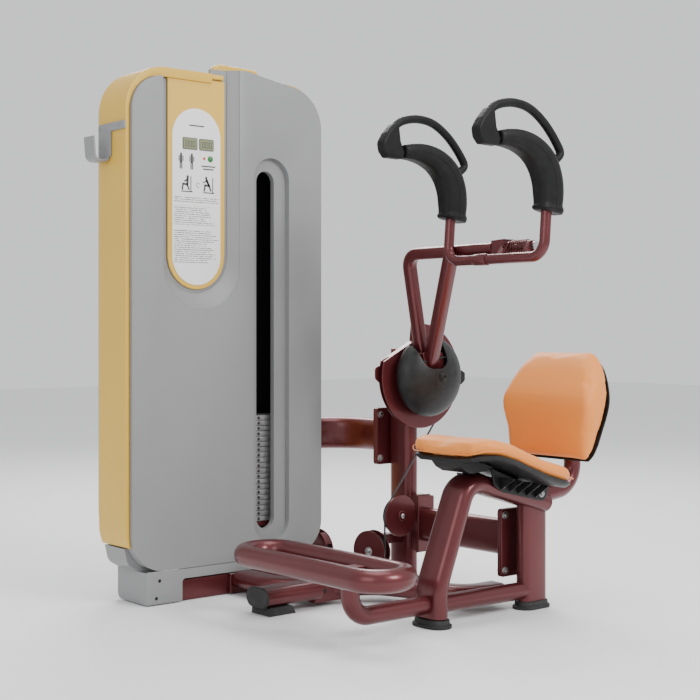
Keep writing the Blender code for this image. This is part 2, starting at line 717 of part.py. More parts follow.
def cable_path():
    r = RUN_R
    rc = CAM_GROOVE_R + CABLE_D / 2.0 + 0.0006
    # the cable leaves the cam on its right and meets the post pulley on its left
    dx = PIVOT_X - POSTP_X
    dz = PIVOT_Z - POSTP_Z
    base = math.atan2(dz, dx)
    half = math.acos((rc + r) / math.hypot(dx, dz))
    leave = math.degrees(base + math.pi + half)
    meet = math.degrees(base + half)
    pts = arc3((PIVOT_X, CABLE_Y, PIVOT_Z), (1, 0, 0), (0, 0, 1), rc, leave + 100.0, leave, 12)
    pts += arc3((POSTP_X, CABLE_Y, POSTP_Z), (1, 0, 0), (0, 0, 1), r, meet, 180.0, 7)
    heading = Vector((-math.sin(TURN), math.cos(TURN), 0.0))
    down = (0, 0, -1)
    span = math.hypot(LOW_X - MID_X, LOW_Y - MID_Y)
    fall = math.degrees(math.atan2(MID_Z - LOW_Z, span))
    pts += arc3((MID_X, MID_Y, MID_Z), -heading, down, r, 0, 90 - fall, 7)
    pts += arc3((LOW_X, LOW_Y, LOW_Z), down, heading, r, -fall, 90, 7)
    side_x = RISE_X - r
    pts += arc3((side_x, STACK_Y, TOP_Z), (1, 0, 0), (0, 0, 1), r, 0, 90, 7)
    pts += arc3((TOP_STACK_X, STACK_Y, TOP_Z), (0, 0, 1), (-1, 0, 0), r, 0, 90, 7)
    pts += [Vector((STACK_X, STACK_Y, TOP_Z - 0.004))]
    clean = [pts[0]]
    for p in pts[1:]:
        if (p - clean[-1]).length > 0.002:
            clean.append(p)
    return clean


def cable():
    return sweep_free("cable", cable_path(), CABLE_D / 2.0, 6, BLACK)


def lift_cable():
    """Free length of the cable between the top pulley and the stack."""
    low = STACK_Z0 + PLATES * PLATE_PITCH + 0.044 + CLEAR
    return rod("lift_cable", (STACK_X, STACK_Y, low), (STACK_X, STACK_Y, TOP_Z - 0.0043),
               CABLE_D / 2.0, 6, BLACK)


# ---------------------------------------------------------------- main post
def main_post():
    path = [(POST_X, POST_Y, 0.022), (POST_X, POST_Y, POST_TOP)]
    pts = [Vector(p) for p in path]
    obj = sweep("main_post", pts, flat_oval(OVAL_W, OVAL_T), (0, 1, 0), RED)
    # bearing housing through the post
    join(obj, rod("tool", (PIVOT_X, POST_Y - 0.0520, PIVOT_Z), (PIVOT_X, POST_Y + 0.058, PIVOT_Z),
                  0.036, 24, None, True))
    cut(obj, rod("tool", (PIVOT_X, POST_Y - 0.2, PIVOT_Z), (PIVOT_X, POST_Y + 0.2, PIVOT_Z),
                 0.0266, 24, None, True))
    # plate that takes the link tube, on the far side
    join(obj, box("tool", POST_X - 0.072, POST_X + 0.055, POST_Y + 0.047, POST_Y + 0.056,
                  0.372, 0.552, None, True))
    return obj


def link_tube():
    """Curved flat-oval tube from the tower frame to the main post."""
    y_end = POST_Y + 0.056 + CLEAR
    r = 0.150
    corner = (POST_X, 0.137)
    path = round_corners([(0.6880, corner[1], 0.0), (corner[0], corner[1], r),
                          (corner[0], y_end + 0.006, 0.0)], 8, closed=False)
    z = 0.460
    pts = [Vector((x, y, z)) for x, y in path]
    obj = sweep("link_tube", pts, flat_oval(OVAL_W + 0.004, OVAL_T), (0, 0, 1), RED)
    join(obj, box("tool", POST_X - 0.072, POST_X + 0.055, y_end, y_end + 0.010, 0.372, 0.552,
                  None, True))
    join(obj, box("tool", 0.6823, 0.6900, 0.104, 0.163, 0.398, 0.522, None, True))
    return obj


def cross_beam():
    """Flat-oval beam from the main post to the seat's rear leg."""
    y0 = CABLE_Y - 0.0180 - CLEAR
    y1 = USER_Y + OVAL_T / 2 + 0.026
    z = 0.191
    pts = [Vector((0.912, y0 - 0.004, z)), Vector((0.912, y1 + 0.004, z))]
    obj = sweep("cross_beam", pts, flat_oval(OVAL_W + 0.006, OVAL_T), (0, 0, 1), RED)
    join(obj, box("tool", 0.878, 0.946, y0 - 0.008, y0, 0.106, 0.280, None, True))
    join(obj, box("tool", 0.838, 0.972, y1, y1 + 0.009, 0.088, 0.284, None, True))
    return obj


# ---------------------------------------------------------------- arm
def pivot_bearing():
    prof = [(0.0187, -0.050), (0.0260, -0.050), (0.0260, 0.052), (0.0187, 0.052)]
    return turned("pivot_bearing", (PIVOT_X, POST_Y, PIVOT_Z), (0, 1, 0), prof, 24, STEEL)


def pivot_shaft():
    c = (PIVOT_X, 0.0, PIVOT_Z)
    y_front = -0.330
    prof = [(0.0, y_front), (0.018, y_front), (0.018, POST_Y + 0.060), (0.030, POST_Y + 0.060),
            (0.030, POST_Y + 0.068), (0.0, POST_Y + 0.068)]
    return turned("pivot_shaft", c, (0, 1, 0), prof, 20, STEEL)


def cam():
    c = (PIVOT_X, CABLE_Y, PIVOT_Z)
    prof = [(0.0187, -0.012), (CAM_R, -0.012), (CAM_R, -0.0075), (CAM_GROOVE_R, -0.0062),
            (CAM_GROOVE_R, 0.0062), (CAM_R - 0.004, 0.0075), (CAM_R - 0.004, 0.011),
            (0.0187, 0.011)]
    obj = turned("cam", c, (0, 1, 0), prof, 48, RED)
    # flat at the upper front, and the stop lug behind it
    bite = [(PIVOT_X - 0.175, PIVOT_Z + 0.060), (PIVOT_X - 0.118, PIVOT_Z + 0.104),
            (PIVOT_X - 0.050, PIVOT_Z + 0.146), (PIVOT_X - 0.02, PIVOT_Z + 0.30),
            (PIVOT_X - 0.30, PIVOT_Z + 0.30), (PIVOT_X - 0.30, PIVOT_Z + 0.06)]
    cut(obj, prism_y("tool", bite, CABLE_Y - 0.10, CABLE_Y + 0.10, None, True))
    lug = round_corners([(PIVOT_X - 0.140, PIVOT_Z + 0.045, 0.0),
                         (PIVOT_X - 0.178, PIVOT_Z + 0.030, 0.012),
                         (PIVOT_X - 0.178, PIVOT_Z - 0.012, 0.012),
                         (PIVOT_X - 0.140, PIVOT_Z - 0.040, 0.0)], 3)
    join(obj, prism_y("tool", lug, CABLE_Y + 0.0072, CABLE_Y + 0.0112, None, True))
    # hub that carries the arm
    hub = [(0.0187, -0.0600), (0.040, -0.0600), (0.040, -0.0115), (0.0187, -0.0115)]
    join(obj, turned("tool", c, (0, 1, 0), hub, 24, None, True))
    return obj


def cam_cover():
    """Domed plastic cover over the hub, with a mouth for the arm."""
    y = CABLE_Y - 0.012 - CLEAR
    c = (PIVOT_X, y, PIVOT_Z)
    prof = [(0.0, -0.098), (0.030, -0.097), (0.060, -0.090), (0.088, -0.074),
            (0.108, -0.052), (0.120, -0.028), (COVER_R, 0.0), (0.122, 0.0),
            (0.115, -0.026), (0.103, -0.048), (0.084, -0.069), (0.057, -0.085),
            (0.030, -0.092), (0.0, -0.093)]
    obj = turned("cam_cover", c, (0, 1, 0), prof, 36, BLACK)
    mouth = round_corners([(PIVOT_X - 0.150, PIVOT_Z + 0.200, 0.0),
                           (PIVOT_X - 0.066, PIVOT_Z + 0.026, 0.022),
                           (PIVOT_X + 0.030, PIVOT_Z + 0.026, 0.022),
                           (PIVOT_X + 0.018, PIVOT_Z + 0.200, 0.0)], 5)
    cut(obj, prism_y("tool", mouth, -0.60, y + 0.01, None, True))
    tab = round_corners([(PIVOT_X + 0.112, PIVOT_Z + 0.024, 0.0),
                         (PIVOT_X + 0.158, PIVOT_Z + 0.010, 0.006),
                         (PIVOT_X + 0.158, PIVOT_Z - 0.018, 0.006),
                         (PIVOT_X + 0.112, PIVOT_Z - 0.036, 0.0)], 3)
    join(obj, prism_y("tool", tab, y - 0.014, y, None, True))
    return obj


def cover_screw():
    y = CABLE_Y - 0.012 - CLEAR - 0.098 - CLEAR
    prof = [(0.0, 0.0), (0.013, 0.0), (0.013, -0.004), (0.010, -0.006), (0.005, -0.006),
            (0.005, -0.003), (0.0, -0.003)]
    return turned("cover_screw", (PIVOT_X, y, PIVOT_Z), (0, 1, 0), prof, 14, STEEL)


def rect(w, t, c):
    return [(-w / 2 + c, -t / 2), (w / 2 - c, -t / 2), (w / 2, -t / 2 + c),
            (w / 2, t / 2 - c), (w / 2 - c, t / 2), (-w / 2 + c, t / 2),
            (-w / 2, t / 2 - c), (-w / 2, -t / 2 + c)]


def arm_frame():
    """Bent upright with its cross tube, the brace, and the stub on the hub."""
    lean = Vector((YOKE_AXIS_X - 0.005 - 0.868, 0.0, 1.030 - 0.745)).normalized()
    foot = Vector((0.880, -0.292, 0.690))
    top_z = 1.032
    corner = foot + lean * ((top_z - foot.z) / lean.z)
    corner.y = -0.310
    end = (corner.x, -0.6760, top_z)
    path = round_corners([(*foot, 0.0), (*corner, 0.048), (*end, 0.0)], 7, closed=False)
    n = (corner - foot).cross(Vector((0, -1, 0))).normalized()
    obj = sweep("arm_frame", path, rect(0.037, 0.036, 0.009), n, RED)
    # brace from the foot to the cross tube
    b0 = Vector((0.884, -0.318, 0.686))
    b1 = Vector((corner.x + 0.002, -0.500, top_z - 0.004))
    nb = (b1 - b0).cross(Vector((0, 1, 0))).normalized()
    join(obj, sweep("tool", [b0, b1], rect(0.042, 0.036, 0.009), nb, None, True))
    # stub plate clamped on the hub
    y0 = CABLE_Y - 0.0600 - CLEAR
    stub = round_corners([(PIVOT_X - 0.044, PIVOT_Z - 0.028, 0.024),
                          (PIVOT_X + 0.040, PIVOT_Z - 0.028, 0.024),
                          (PIVOT_X + 0.020, PIVOT_Z + 0.075, 0.008),
                          (PIVOT_X - 0.064, PIVOT_Z + 0.075, 0.008)], 4)
    join(obj, prism_y("tool", stub, -0.332, y0, None, True))
    cut(obj, rod("tool", (PIVOT_X, -0.5, PIVOT_Z), (PIVOT_X, 0.0, PIVOT_Z), 0.0185, 20, None,
                 True))
    cut(obj, box("tool", 0.7, 1.1, y0, 0.0, 0.5, PIVOT_Z + 0.060, None, True))
    # wedge block that ends the cross tube and holds the yoke's pin
    w = [(-0.6755, YOKE_AXIS_Z - 0.017), (-0.6755, YOKE_AXIS_Z + 0.021),
         (-0.7300, YOKE_AXIS_Z + 0.024), (-0.6980, YOKE_AXIS_Z - 0.017)]
    join(obj, prism_x("tool", w, YOKE_AXIS_X - 0.022, YOKE_AXIS_X + 0.022, None, True))
    cut(obj, rod("tool", (YOKE_AXIS_X, -0.9, YOKE_AXIS_Z), (YOKE_AXIS_X, -0.62, YOKE_AXIS_Z),
                 0.0083, 14, None, True))
    return obj


def yoke_pin():
    prof = [(0.0, -0.6215), (0.0080, -0.6215), (0.0080, -0.8230), (0.0130, -0.8230),
            (0.0130, -0.8300), (0.0, -0.8300)]
    return turned("yoke_pin", (YOKE_AXIS_X, 0.0, YOKE_AXIS_Z), (0, 1, 0), prof, 14, STEEL)


def yoke_spring():
    turns = 8
    n = 11
    y0 = -0.7440
    y1 = -0.8030
    pts = []
    r = 0.0172
    for i in range(turns * n + 1):
        t = i / (turns * n)
        a = 2 * math.pi * turns * t
        pts.append(Vector((YOKE_AXIS_X + r * math.cos(a), y0 + (y1 - y0) * t,
                           YOKE_AXIS_Z + r * math.sin(a))))
    return sweep_free("yoke_spring", pts, 0.0028, 6, RED)


def handle_yoke():
    """Round U-tube with its centre sleeve and the two eyes on the pin."""
    yl = USER_Y + HANDLE_GAP / 2
    yr = USER_Y - HANDLE_GAP / 2
    path = round_corners([(yl, 1.150, 0.0), (yl, YOKE_Z, 0.045), (yr, YOKE_Z, 0.045),
                          (yr, 1.150, 0.0)], 7, closed=False)
    pts = [Vector((YOKE_X, y, z)) for y, z in path]
    obj = sweep("handle_yoke", pts, circle(HANDLE_D / 2, 14), (1, 0, 0), RED)
    join(obj, rod("tool", (YOKE_X, USER_Y + 0.075, YOKE_Z), (YOKE_X, USER_Y + 0.024, YOKE_Z),
                  0.0172, 20, None, True))
    for y0, y1 in ((-0.7405, -0.7315), (-0.8190, -0.8085)):
        lug = round_corners([(YOKE_X - 0.004, YOKE_Z, 0.0), (YOKE_X + 0.010, YOKE_Z - 0.008, 0.0),
                             (YOKE_AXIS_X + 0.020, YOKE_AXIS_Z - 0.012, 0.010),
                             (YOKE_AXIS_X + 0.012, YOKE_AXIS_Z + 0.016, 0.010),
                             (YOKE_AXIS_X - 0.016, YOKE_AXIS_Z + 0.014, 0.008)], 3)
        join(obj, prism_y("tool", lug, y1, y0, None, True))
    cut(obj, rod("tool", (YOKE_AXIS_X, -0.9, YOKE_AXIS_Z), (YOKE_AXIS_X, -0.6, YOKE_AXIS_Z),
                 0.0084, 14, None, True))
    return obj


PAD_SPINE = [(0.777, 1.122), (0.780, 1.165), (0.776, 1.205), (0.761, 1.242),
             (0.735, 1.271), (0.700, 1.292), (0.658, 1.304), (0.617, 1.307),
             (0.580, 1.305)]
PAD_HALF = [0.042, 0.045, 0.045, 0.043, 0.039, 0.034, 0.029, 0.024, 0.019]
PAD_SQUARE = 0.72         # 1 gives a round section, less a squarer one
PAD_WIDE = [0.050, 0.056, 0.060, 0.062, 0.062, 0.060, 0.057, 0.053, 0.046]


def pad_shape(name, y, cutter=False, grow=0.0):
    """Rounded section swept along the bent spine, sized by the two lists."""
    section = []
    for ca, sa in circle(1.0, 16):
        section.append((math.copysign(abs(ca) ** PAD_SQUARE, ca),
                        math.copysign(abs(sa) ** PAD_SQUARE, sa)))
    places = []
    last = len(PAD_SPINE) - 1
    for i, point in enumerate(PAD_SPINE):
        p = Vector((point[0], y, point[1]))
        step = Vector(PAD_SPINE[min(i + 1, last)]) - Vector(PAD_SPINE[max(i - 1, 0)])
        t = Vector((step.x, 0.0, step.y)).normalized()
        across = Vector((t.z, 0.0, -t.x)) * (PAD_HALF[i] + grow)
        wide = Vector((0.0, PAD_WIDE[i] / 2 + grow, 0.0))
        place = Matrix((across, wide, across.cross(wide).normalized())).transposed().to_4x4()
        place.translation = p + t * (2 * grow * ((i == last) - (i == 0)))
        places.append(place)
    return make(name, swept(section, places), BLACK, cutter)


def arm_pad(name, side):
    y = USER_Y + side * HANDLE_GAP / 2
    obj = pad_shape(name, y)
    cut(obj, rod("tool", (YOKE_X, y, 1.0), (YOKE_X, y, 1.1503), HANDLE_D / 2 + 3 * CLEAR, 14, None,
                 True))
    return obj


LOOP = [(0.545, 1.368), (0.572, 1.388), (0.606, 1.399),
        (0.645, 1.4035), (0.690, 1.399), (0.728, 1.384), (0.764, 1.360), (0.795, 1.331),
        (0.820, 1.301), (0.827, 1.287), (0.822, 1.275), (0.795, 1.256), (0.775, 1.245)]


def grip_loop(name, side):
    """Hand grip: a bent bar on the pad, ending in a flat paddle."""
    y = USER_Y + side * HANDLE_GAP / 2
    pts = [Vector((x, y, z)) for x, z in LOOP]
    obj = sweep(name, pts, circle(0.0125, 10), (0, 1, 0), BLACK)
    pad = round_corners([(0.500, 1.300, 0.016), (0.516, 1.283, 0.008), (0.572, 1.2825, 0.010),
                         (0.584, 1.300, 0.012), (0.566, 1.330, 0.020), (0.560, 1.372, 0.010),
                         (0.545, 1.386, 0.012), (0.512, 1.352, 0.020), (0.495, 1.325, 0.020)], 3)
    join(obj, prism_y("tool", pad, y - 0.016, y + 0.016, None, True))
    cut(obj, pad_shape("tool", y, True, 0.0005))
    return obj


# ---------------------------------------------------------------- seat frame
BACK_TUBE = [(0.890, 0.312), (1.096, 0.338), (1.091, 0.536)]


def back_tube_line(corners):
    a, b, c = corners
    return round_corners([(a[0], a[1], 0.0), (b[0], b[1], 0.075), (c[0], c[1], 0.0)], 6,
                         closed=False)


def seat_frame():
    """Front leg, sloping rail, rear leg and the back rest's bent tube."""
    path = round_corners([(0.521, 0.022, 0.0), (0.521, 0.105, 0.12), (0.634, 0.388, 0.060),
                          (0.952, 0.300, 0.0)], 7, closed=False)
    pts = [Vector((x, USER_Y, z)) for x, z in path]
    obj = sweep("seat_frame", pts, flat_oval(OVAL_W, OVAL_T - 0.002), (0, 1, 0), RED)
    leg = [Vector((0.915, USER_Y, 0.022)), Vector((0.915, USER_Y, 0.316))]
    join(obj, sweep("tool", leg, flat_oval(OVAL_W, OVAL_T), (1, 0, 0), None, True))
    pts = [Vector((x, USER_Y, z)) for x, z in back_tube_line(BACK_TUBE)]
    join(obj, sweep("tool", pts, circle(ROUND_D / 2, 14), (0, 1, 0), None, True))
    return obj


def foot_bar():
    """Side tube along the floor, bent up into the stem that carries the loop."""
    r = ROUND_D / 2
    stem_x = 0.232
    path = round_corners([(0.5050, 0.060, 0.0), (stem_x, 0.060, 0.060), (stem_x, 0.185, 0.0)],
                         7, closed=False)
    pts = [Vector((x, USER_Y, z)) for x, z in path]
    obj = sweep("foot_bar", pts, circle(r, 14), (0, 1, 0), RED)
    h = FOOT_LOOP / 2
    e = FOOT_D / 2
    ya = FOOT_Y0 + e
    yb = FOOT_Y1 - e
    loop = round_corners([(FOOT_X - h, ya, h * 0.92), (FOOT_X + h, ya, h * 0.92),
                          (FOOT_X + h, yb, h * 0.92), (FOOT_X - h, yb, h * 0.92)], 6)
    pts = [Vector((x, y, FOOT_Z)) for x, y in loop]
    ring = sweep("tool", pts, circle(e, 14), (0, 0, 1), None, True, closed=True)
    # bridge between the two bars of the loop, over the stem
    join(obj, box("tool", FOOT_X - h, FOOT_X + h, USER_Y - 0.022, USER_Y + 0.022,
                  FOOT_Z - 0.012, FOOT_Z + 0.010, None, True))
    join(obj, ring)
    # seat against the front leg
    leg = flat_oval(OVAL_W + 2 * CLEAR, OVAL_T - 0.002 + 2 * CLEAR)
    lp = round_corners([(0.521, -0.05, 0.0), (0.521, 0.105, 0.12), (0.634, 0.388, 0.0)],
                       7, closed=False)
    pts = [Vector((x, USER_Y, z)) for x, z in lp]
    cut(obj, sweep("tool", pts, leg, (0, 1, 0), None, True))
    return obj


def side_tube():
    """Round tube between the front leg and the rear leg."""
    obj = rod("side_tube", (0.53, USER_Y, 0.056), (0.905, USER_Y, 0.052), ROUND_D / 2, 14, RED)
    lp = round_corners([(0.521, -0.05, 0.0), (0.521, 0.105, 0.12), (0.634, 0.388, 0.0)],
                       7, closed=False)
    pts = [Vector((x, USER_Y, z)) for x, z in lp]
    cut(obj, sweep("tool", pts, flat_oval(OVAL_W + 2 * CLEAR, OVAL_T - 0.002 + 2 * CLEAR),
                   (0, 1, 0), None, True))
    leg = [Vector((0.915, USER_Y, -0.1)), Vector((0.915, USER_Y, 0.316))]
    cut(obj, sweep("tool", leg, flat_oval(OVAL_W + 2 * CLEAR, OVAL_T + 2 * CLEAR), (1, 0, 0),
                   None, True))
    return obj


def foot_cap(name, x, y, long_axis, w, t):
    """Rubber shoe on the end of a flat-oval leg."""
    turn = Matrix.Rotation(math.pi / 2 if long_axis == "Y" else 0.0, 4, "Z")
    slim = ((w + 0.016) / (w + 0.024), (t + 0.016) / (t + 0.024))
    levels = ((0.0, (1.0, 1.0)), (0.008, (1.0, 1.0)), (0.014, slim), (0.0217, slim))
    places = [Matrix.Translation((x, y, z)) @ turn @ Matrix.Diagonal((kx, ky, 1.0, 1.0))
              for z, (kx, ky) in levels]
    return make(name, swept(flat_oval(w + 0.024, t + 0.024), places), RUBBER)


def seat_profile(n=14):
    """Upper line of the seat's underside: (x, z)."""
    knots = [(0.0, 0.452), (0.10, 0.4650), (0.22, 0.4640), (0.36, 0.449), (0.52, 0.424),
             (0.70, 0.398), (0.86, 0.380), (1.0, 0.366)]
    out = []
    for i in range(n + 1):
        t = i / n
        for (a, za), (b, zb) in zip(knots[:-1], knots[1:]):
            if a - 1e-9 <= t <= b + 1e-9:
                s = (t - a) / (b - a)
                s = s * s * (3 - 2 * s) * 0.35 + s * 0.65
                out.append((SEAT_X0 + (SEAT_X1 - SEAT_X0) * t, za + (zb - za) * s))
                break
    return out


def seat_half(t):
    """Half width of the seat at t = 0 (nose) .. 1 (rear)."""
    h = SEAT_W / 2
    if t < 0.34:
        u = 1 - t / 0.34
        return h * (0.42 + 0.58 * math.sqrt(max(0.0, 1 - u * u * 0.999)))
    if t > 0.84:
        u = (t - 0.84) / 0.16
        return h * (0.70 + 0.30 * math.sqrt(max(0.0, 1 - u * u)))
    return h


def seat_pad():
    rings = []
    prof = seat_profile()
    n = len(prof) - 1
    for i, (x, z) in enumerate(prof):
        h = seat_half(i / n)
        thick = SEAT_T
        ring = []
        edge = 0.55 if i in (0, n) else 1.0
        top = thick * edge
        e = 0.016
        section = [(-h + e * 0.4, 0.0), (-h, 0.35 * top), (-h + 0.004, 0.72 * top),
                   (-h + e, 0.95 * top), (-h * 0.45, 1.03 * top), (0.0, 1.0 * top),
                   (h * 0.45, 1.03 * top), (h - e, 0.95 * top), (h - 0.004, 0.72 * top),
                   (h, 0.35 * top), (h - e * 0.4, 0.0)]
        for dy, dz in section:
            ring.append((x, USER_Y + dy, z + CLEAR + dz))
        rings.append(ring)
    return make("seat_pad", loft(rings), PAD)


def seat_shell():
    """Moulded carrier under the seat pad, with its keel on the rail."""
    rings = []
    prof = seat_profile()
    n = len(prof) - 1
    for i, (x, z) in enumerate(prof):
        h = seat_half(i / n) - 0.010
        deep = 0.009 if i in (0, n) else 0.017
        xx = x + (0.010 if i == 0 else (-0.008 if i == n else 0.0))
        zz = z if i else z + 0.001
        rings.append([(xx, USER_Y - h, zz), (xx, USER_Y + h, zz),
                      (xx, USER_Y + h - 0.020, zz - deep), (xx, USER_Y - h + 0.020, zz - deep)])
    obj = make("seat_shell", loft(rings), BLACK)
    # keel plates either side of the rail
    for side in (-1, 1):
        y0 = USER_Y + side * (OVAL_W / 2 + 0.003)
        y1 = y0 + side * 0.008
        keel = round_corners([(0.690, 0.4380, 0.0), (0.700, 0.372, 0.014),
                              (0.735, 0.350, 0.014), (0.900, 0.312, 0.014),
                              (0.916, 0.330, 0.010), (0.924, 0.3640, 0.0)], 3)
        join(obj, prism_y("tool", keel, min(y0, y1), max(y0, y1), None, True))
    # front box that clips over the bend of the leg
    nose = round_corners([(0.560, 0.452, 0.0), (0.585, 0.4240, 0.010), (0.612, 0.4100, 0.010),
                          (0.700, 0.4150, 0.0), (0.700, 0.438, 0.0)], 3)
    join(obj, prism_y("tool", nose, USER_Y - 0.055, USER_Y + 0.055, None, True))
    # clearance over the rail
    path = round_corners([(0.521, 0.105, 0.0), (0.634, 0.388, 0.060), (0.960, 0.298, 0.0)],
                         7, closed=False)
    pts = [Vector((x, USER_Y, z)) for x, z in path]
    cut(obj, sweep("tool", pts, flat_oval(OVAL_W + 0.004, OVAL_T - 0.002 + 0.001), (0, 1, 0),
                   None, True))
    for x, z in ((0.735, 0.373), (0.892, 0.335)):
        cut(obj, rod("tool", (x, USER_Y - 0.2, z), (x, USER_Y - OVAL_W / 2 - 0.008, z), 0.006,
                     10, None, True))
    return obj


BACK_LINE = [  # z, front x, back x, half-width factor
    (0.424, 0.984, 0.996, 0.86), (0.440, 0.975, 1.004, 0.92), (0.470, 0.974, 1.018, 0.955),
    (0.510, 0.971, 1.035, 0.965), (0.545, 0.967, 1.048, 0.985), (0.580, 0.965, 1.059, 1.0),
    (0.610, 0.970, 1.067, 0.985), (0.650, 0.990, 1.075, 0.93), (0.690, 1.012, 1.080, 0.85),
    (0.720, 1.032, 1.076, 0.76), (0.740, 1.050, 1.066, 0.67)]


def back_pad():
    rings = []
    for z, xf, xb, k in BACK_LINE:
        h = BACK_W / 2 * k
        e = min(0.022, (xb - xf) * 0.45)
        ring = [(xb, USER_Y - h + 0.002, z), (xf + e, USER_Y - h, z),
                (xf + 0.3 * e, USER_Y - h + 0.35 * e, z), (xf, USER_Y - h + 1.3 * e, z),
                (xf - 0.002, USER_Y, z), (xf, USER_Y + h - 1.3 * e, z),
                (xf + 0.3 * e, USER_Y + h - 0.35 * e, z), (xf + e, USER_Y + h, z),
                (xb, USER_Y + h - 0.002, z)]
        rings.append(ring)
    return make("back_pad", loft(rings), PAD)


def back_shell():
    rings = []
    for z, xf, xb, k in BACK_LINE:
        h = BACK_W / 2 * k
        x0 = xb + CLEAR
        d = 0.007 if z in (BACK_LINE[0][0], BACK_LINE[-1][0]) else 0.014
        rings.append([(x0, USER_Y - h + 0.003, z), (x0, USER_Y + h - 0.003, z),
                      (x0 + d * 0.7, USER_Y + h - 0.018, z), (x0 + d, USER_Y + h - 0.05, z),
                      (x0 + d, USER_Y - h + 0.05, z), (x0 + d * 0.7, USER_Y - h + 0.018, z)])
    obj = make("back_shell", loft(rings), BLACK)
    # socket block on the support tube
    join(obj, box("tool", 1.036, 1.124, USER_Y - 0.034, USER_Y + 0.034, 0.452, 0.548, None,
                  True))
    joint = BACK_TUBE[:2] + [(1.0909, 0.5376)]
    pts = [Vector((x, USER_Y, z)) for x, z in back_tube_line(joint)]
    cut(obj, sweep("tool", pts, circle(ROUND_D / 2 + CLEAR * 2, 14), (0, 1, 0), None, True))
    # the block stops at the pad's back
    line = [(xb + CLEAR, z) for z, xf, xb, k in BACK_LINE[1:7]]
    poly = [(0.90, line[0][1])] + line + [(0.90, line[-1][1])]
    cut(obj, prism_y("tool", poly, USER_Y - 0.30, USER_Y + 0.30, None, True))
    return obj


# ---------------------------------------------------------------- floor frame
def floor_beam():
    """Curved flat-oval beam along the floor, with the block and the outrigger."""
    z = 0.045
    path = round_corners([(0.400, -0.0043, 0.0), (0.400, -0.150, 0.10), (0.500, -0.275, 0.10),
                          (0.640, -0.360, 0.12), (0.735, -0.630, 0.09), (0.856, -0.632, 0.0)],
                         6, closed=False)
    pts = [Vector((x, y, z)) for x, y in path]
    obj = sweep("floor_beam", pts, flat_oval(0.086, 0.050), (0, 0, 1), RED, swap=True)
    join(obj, box("tool", 0.428, 0.528, -0.322, -0.236, 0.012, 0.078, None, True))
    tube = [Vector((0.245, -0.296, 0.050)), Vector((0.440, -0.296, 0.050))]
    join(obj, sweep("tool", tube, flat_oval(0.096, 0.052), (0, 0, 1), None, True, swap=True))
    cut(obj, rod("tool", (0.462, -0.5, 0.044), (0.462, -0.318, 0.044), 0.0048, 10, None, True))
    return obj


def stabiliser_cap():
    """Plug in the outrigger's end, a little smaller at its outer face."""
    across = basis(Vector((0.0, 0.0, 0.0)), (1, 0, 0))
    places = [Matrix.Translation((x, -0.296, 0.050)) @ across @ Matrix.Diagonal((kx, ky, 1, 1))
              for x, kx, ky in ((0.2447, 1.0, 1.0), (0.240, 1.0, 1.0), (0.236, 0.90, 0.84))]
    return make("stabiliser_cap", swept(flat_oval(0.102, 0.058), places), RUBBER)


def stabiliser_foot():
    wedge = [(0.250, 0.0), (0.345, 0.0), (0.330, 0.0235), (0.252, 0.0235)]
    return prism_y("stabiliser_foot", wedge, -0.338, -0.254, RUBBER)


# ---------------------------------------------------------------- assembly
def set_origin(obj, point):
    p = Vector(point)
    obj.data.transform(Matrix.Translation(-p))
    obj.location = p


def build():
    base_beam()
    base_skirt()
    tower_shell()
    front_shroud()
    rear_shroud()
    label_strip()
    instruction_plate()
    display_unit()
    set_origin(reset_button(), (0.294, 0.0125, 1.313))
    towel_hook()
    stack_frame()
    guide_rod("guide_rod_left", -ROD_GAP / 2)
    guide_rod("guide_rod_right", ROD_GAP / 2)
    weight_plates()
    top = STACK_Z0 + PLATES * PLATE_PITCH
    set_origin(top_plate(), (STACK_X, STACK_Y, top))
    set_origin(selector_rod(), (STACK_X, STACK_Y, top))
    tops = (("stack_pulley", TOP_STACK_X), ("side_pulley", TOP_SIDE_X))
    for name, x in tops:
        c = (x, STACK_Y, TOP_Z)
        set_origin(sheave(name, c, (0, 1, 0)), c)
        axle(name + "_axle", c, (0, 1, 0), -0.0110, 0.0460)
    o = (0.0, 0.0, 0.0)
    floor_pulleys = (("low_pulley", (LOW_X, LOW_Y, LOW_Z)), ("mid_pulley", (MID_X, MID_Y, MID_Z)))
    for name, c in floor_pulleys:
        set_origin(turn_to(sheave(name, o, (1, 0, 0)), c), c)
        turn_to(axle(name + "_axle", o, (1, 0, 0), -0.0153, 0.0160), c)
    low_pulley_guard()
    mid_pulley_guard()
    c = (POSTP_X, CABLE_Y, POSTP_Z)
    post_pulley_guard()
    set_origin(sheave("post_pulley", c, (0, 1, 0)), c)
    axle("post_pulley_axle", c, (0, 1, 0), -0.0183, 0.0140)
    cable()
    lift_cable()
    main_post()
    link_tube()
    cross_beam()
    pivot = (PIVOT_X, CABLE_Y, PIVOT_Z)
    pivot_bearing()
    for fn in (pivot_shaft, cam, cam_cover, cover_screw, arm_frame):
        set_origin(fn(), pivot)
    eye = (YOKE_AXIS_X, USER_Y, YOKE_AXIS_Z)
    yoke_pin()
    yoke_spring()
    set_origin(handle_yoke(), eye)
    for word, side in (("left", -1), ("right", 1)):
        set_origin(arm_pad("arm_pad_" + word, side), eye)
        set_origin(grip_loop("grip_loop_" + word, side), eye)
    seat_frame()
    side_tube()
    foot_bar()
    foot_cap("front_foot", 0.521, USER_Y, "Y", OVAL_W, OVAL_T)
    foot_cap("rear_foot", 0.915, USER_Y, "X", OVAL_W, OVAL_T)
    foot_cap("post_foot", POST_X, POST_Y, "Y", OVAL_W, OVAL_T)
    seat_shell()
    seat_pad()
    back_shell()
    back_pad()
    floor_beam()
    stabiliser_cap()
    stabiliser_foot()
    shift = Matrix.Translation(Vector((-ORIGIN_X, -ORIGIN_Y, 0.0)))
    for obj in PARTS.objects:
        obj.location = shift @ obj.location


build()
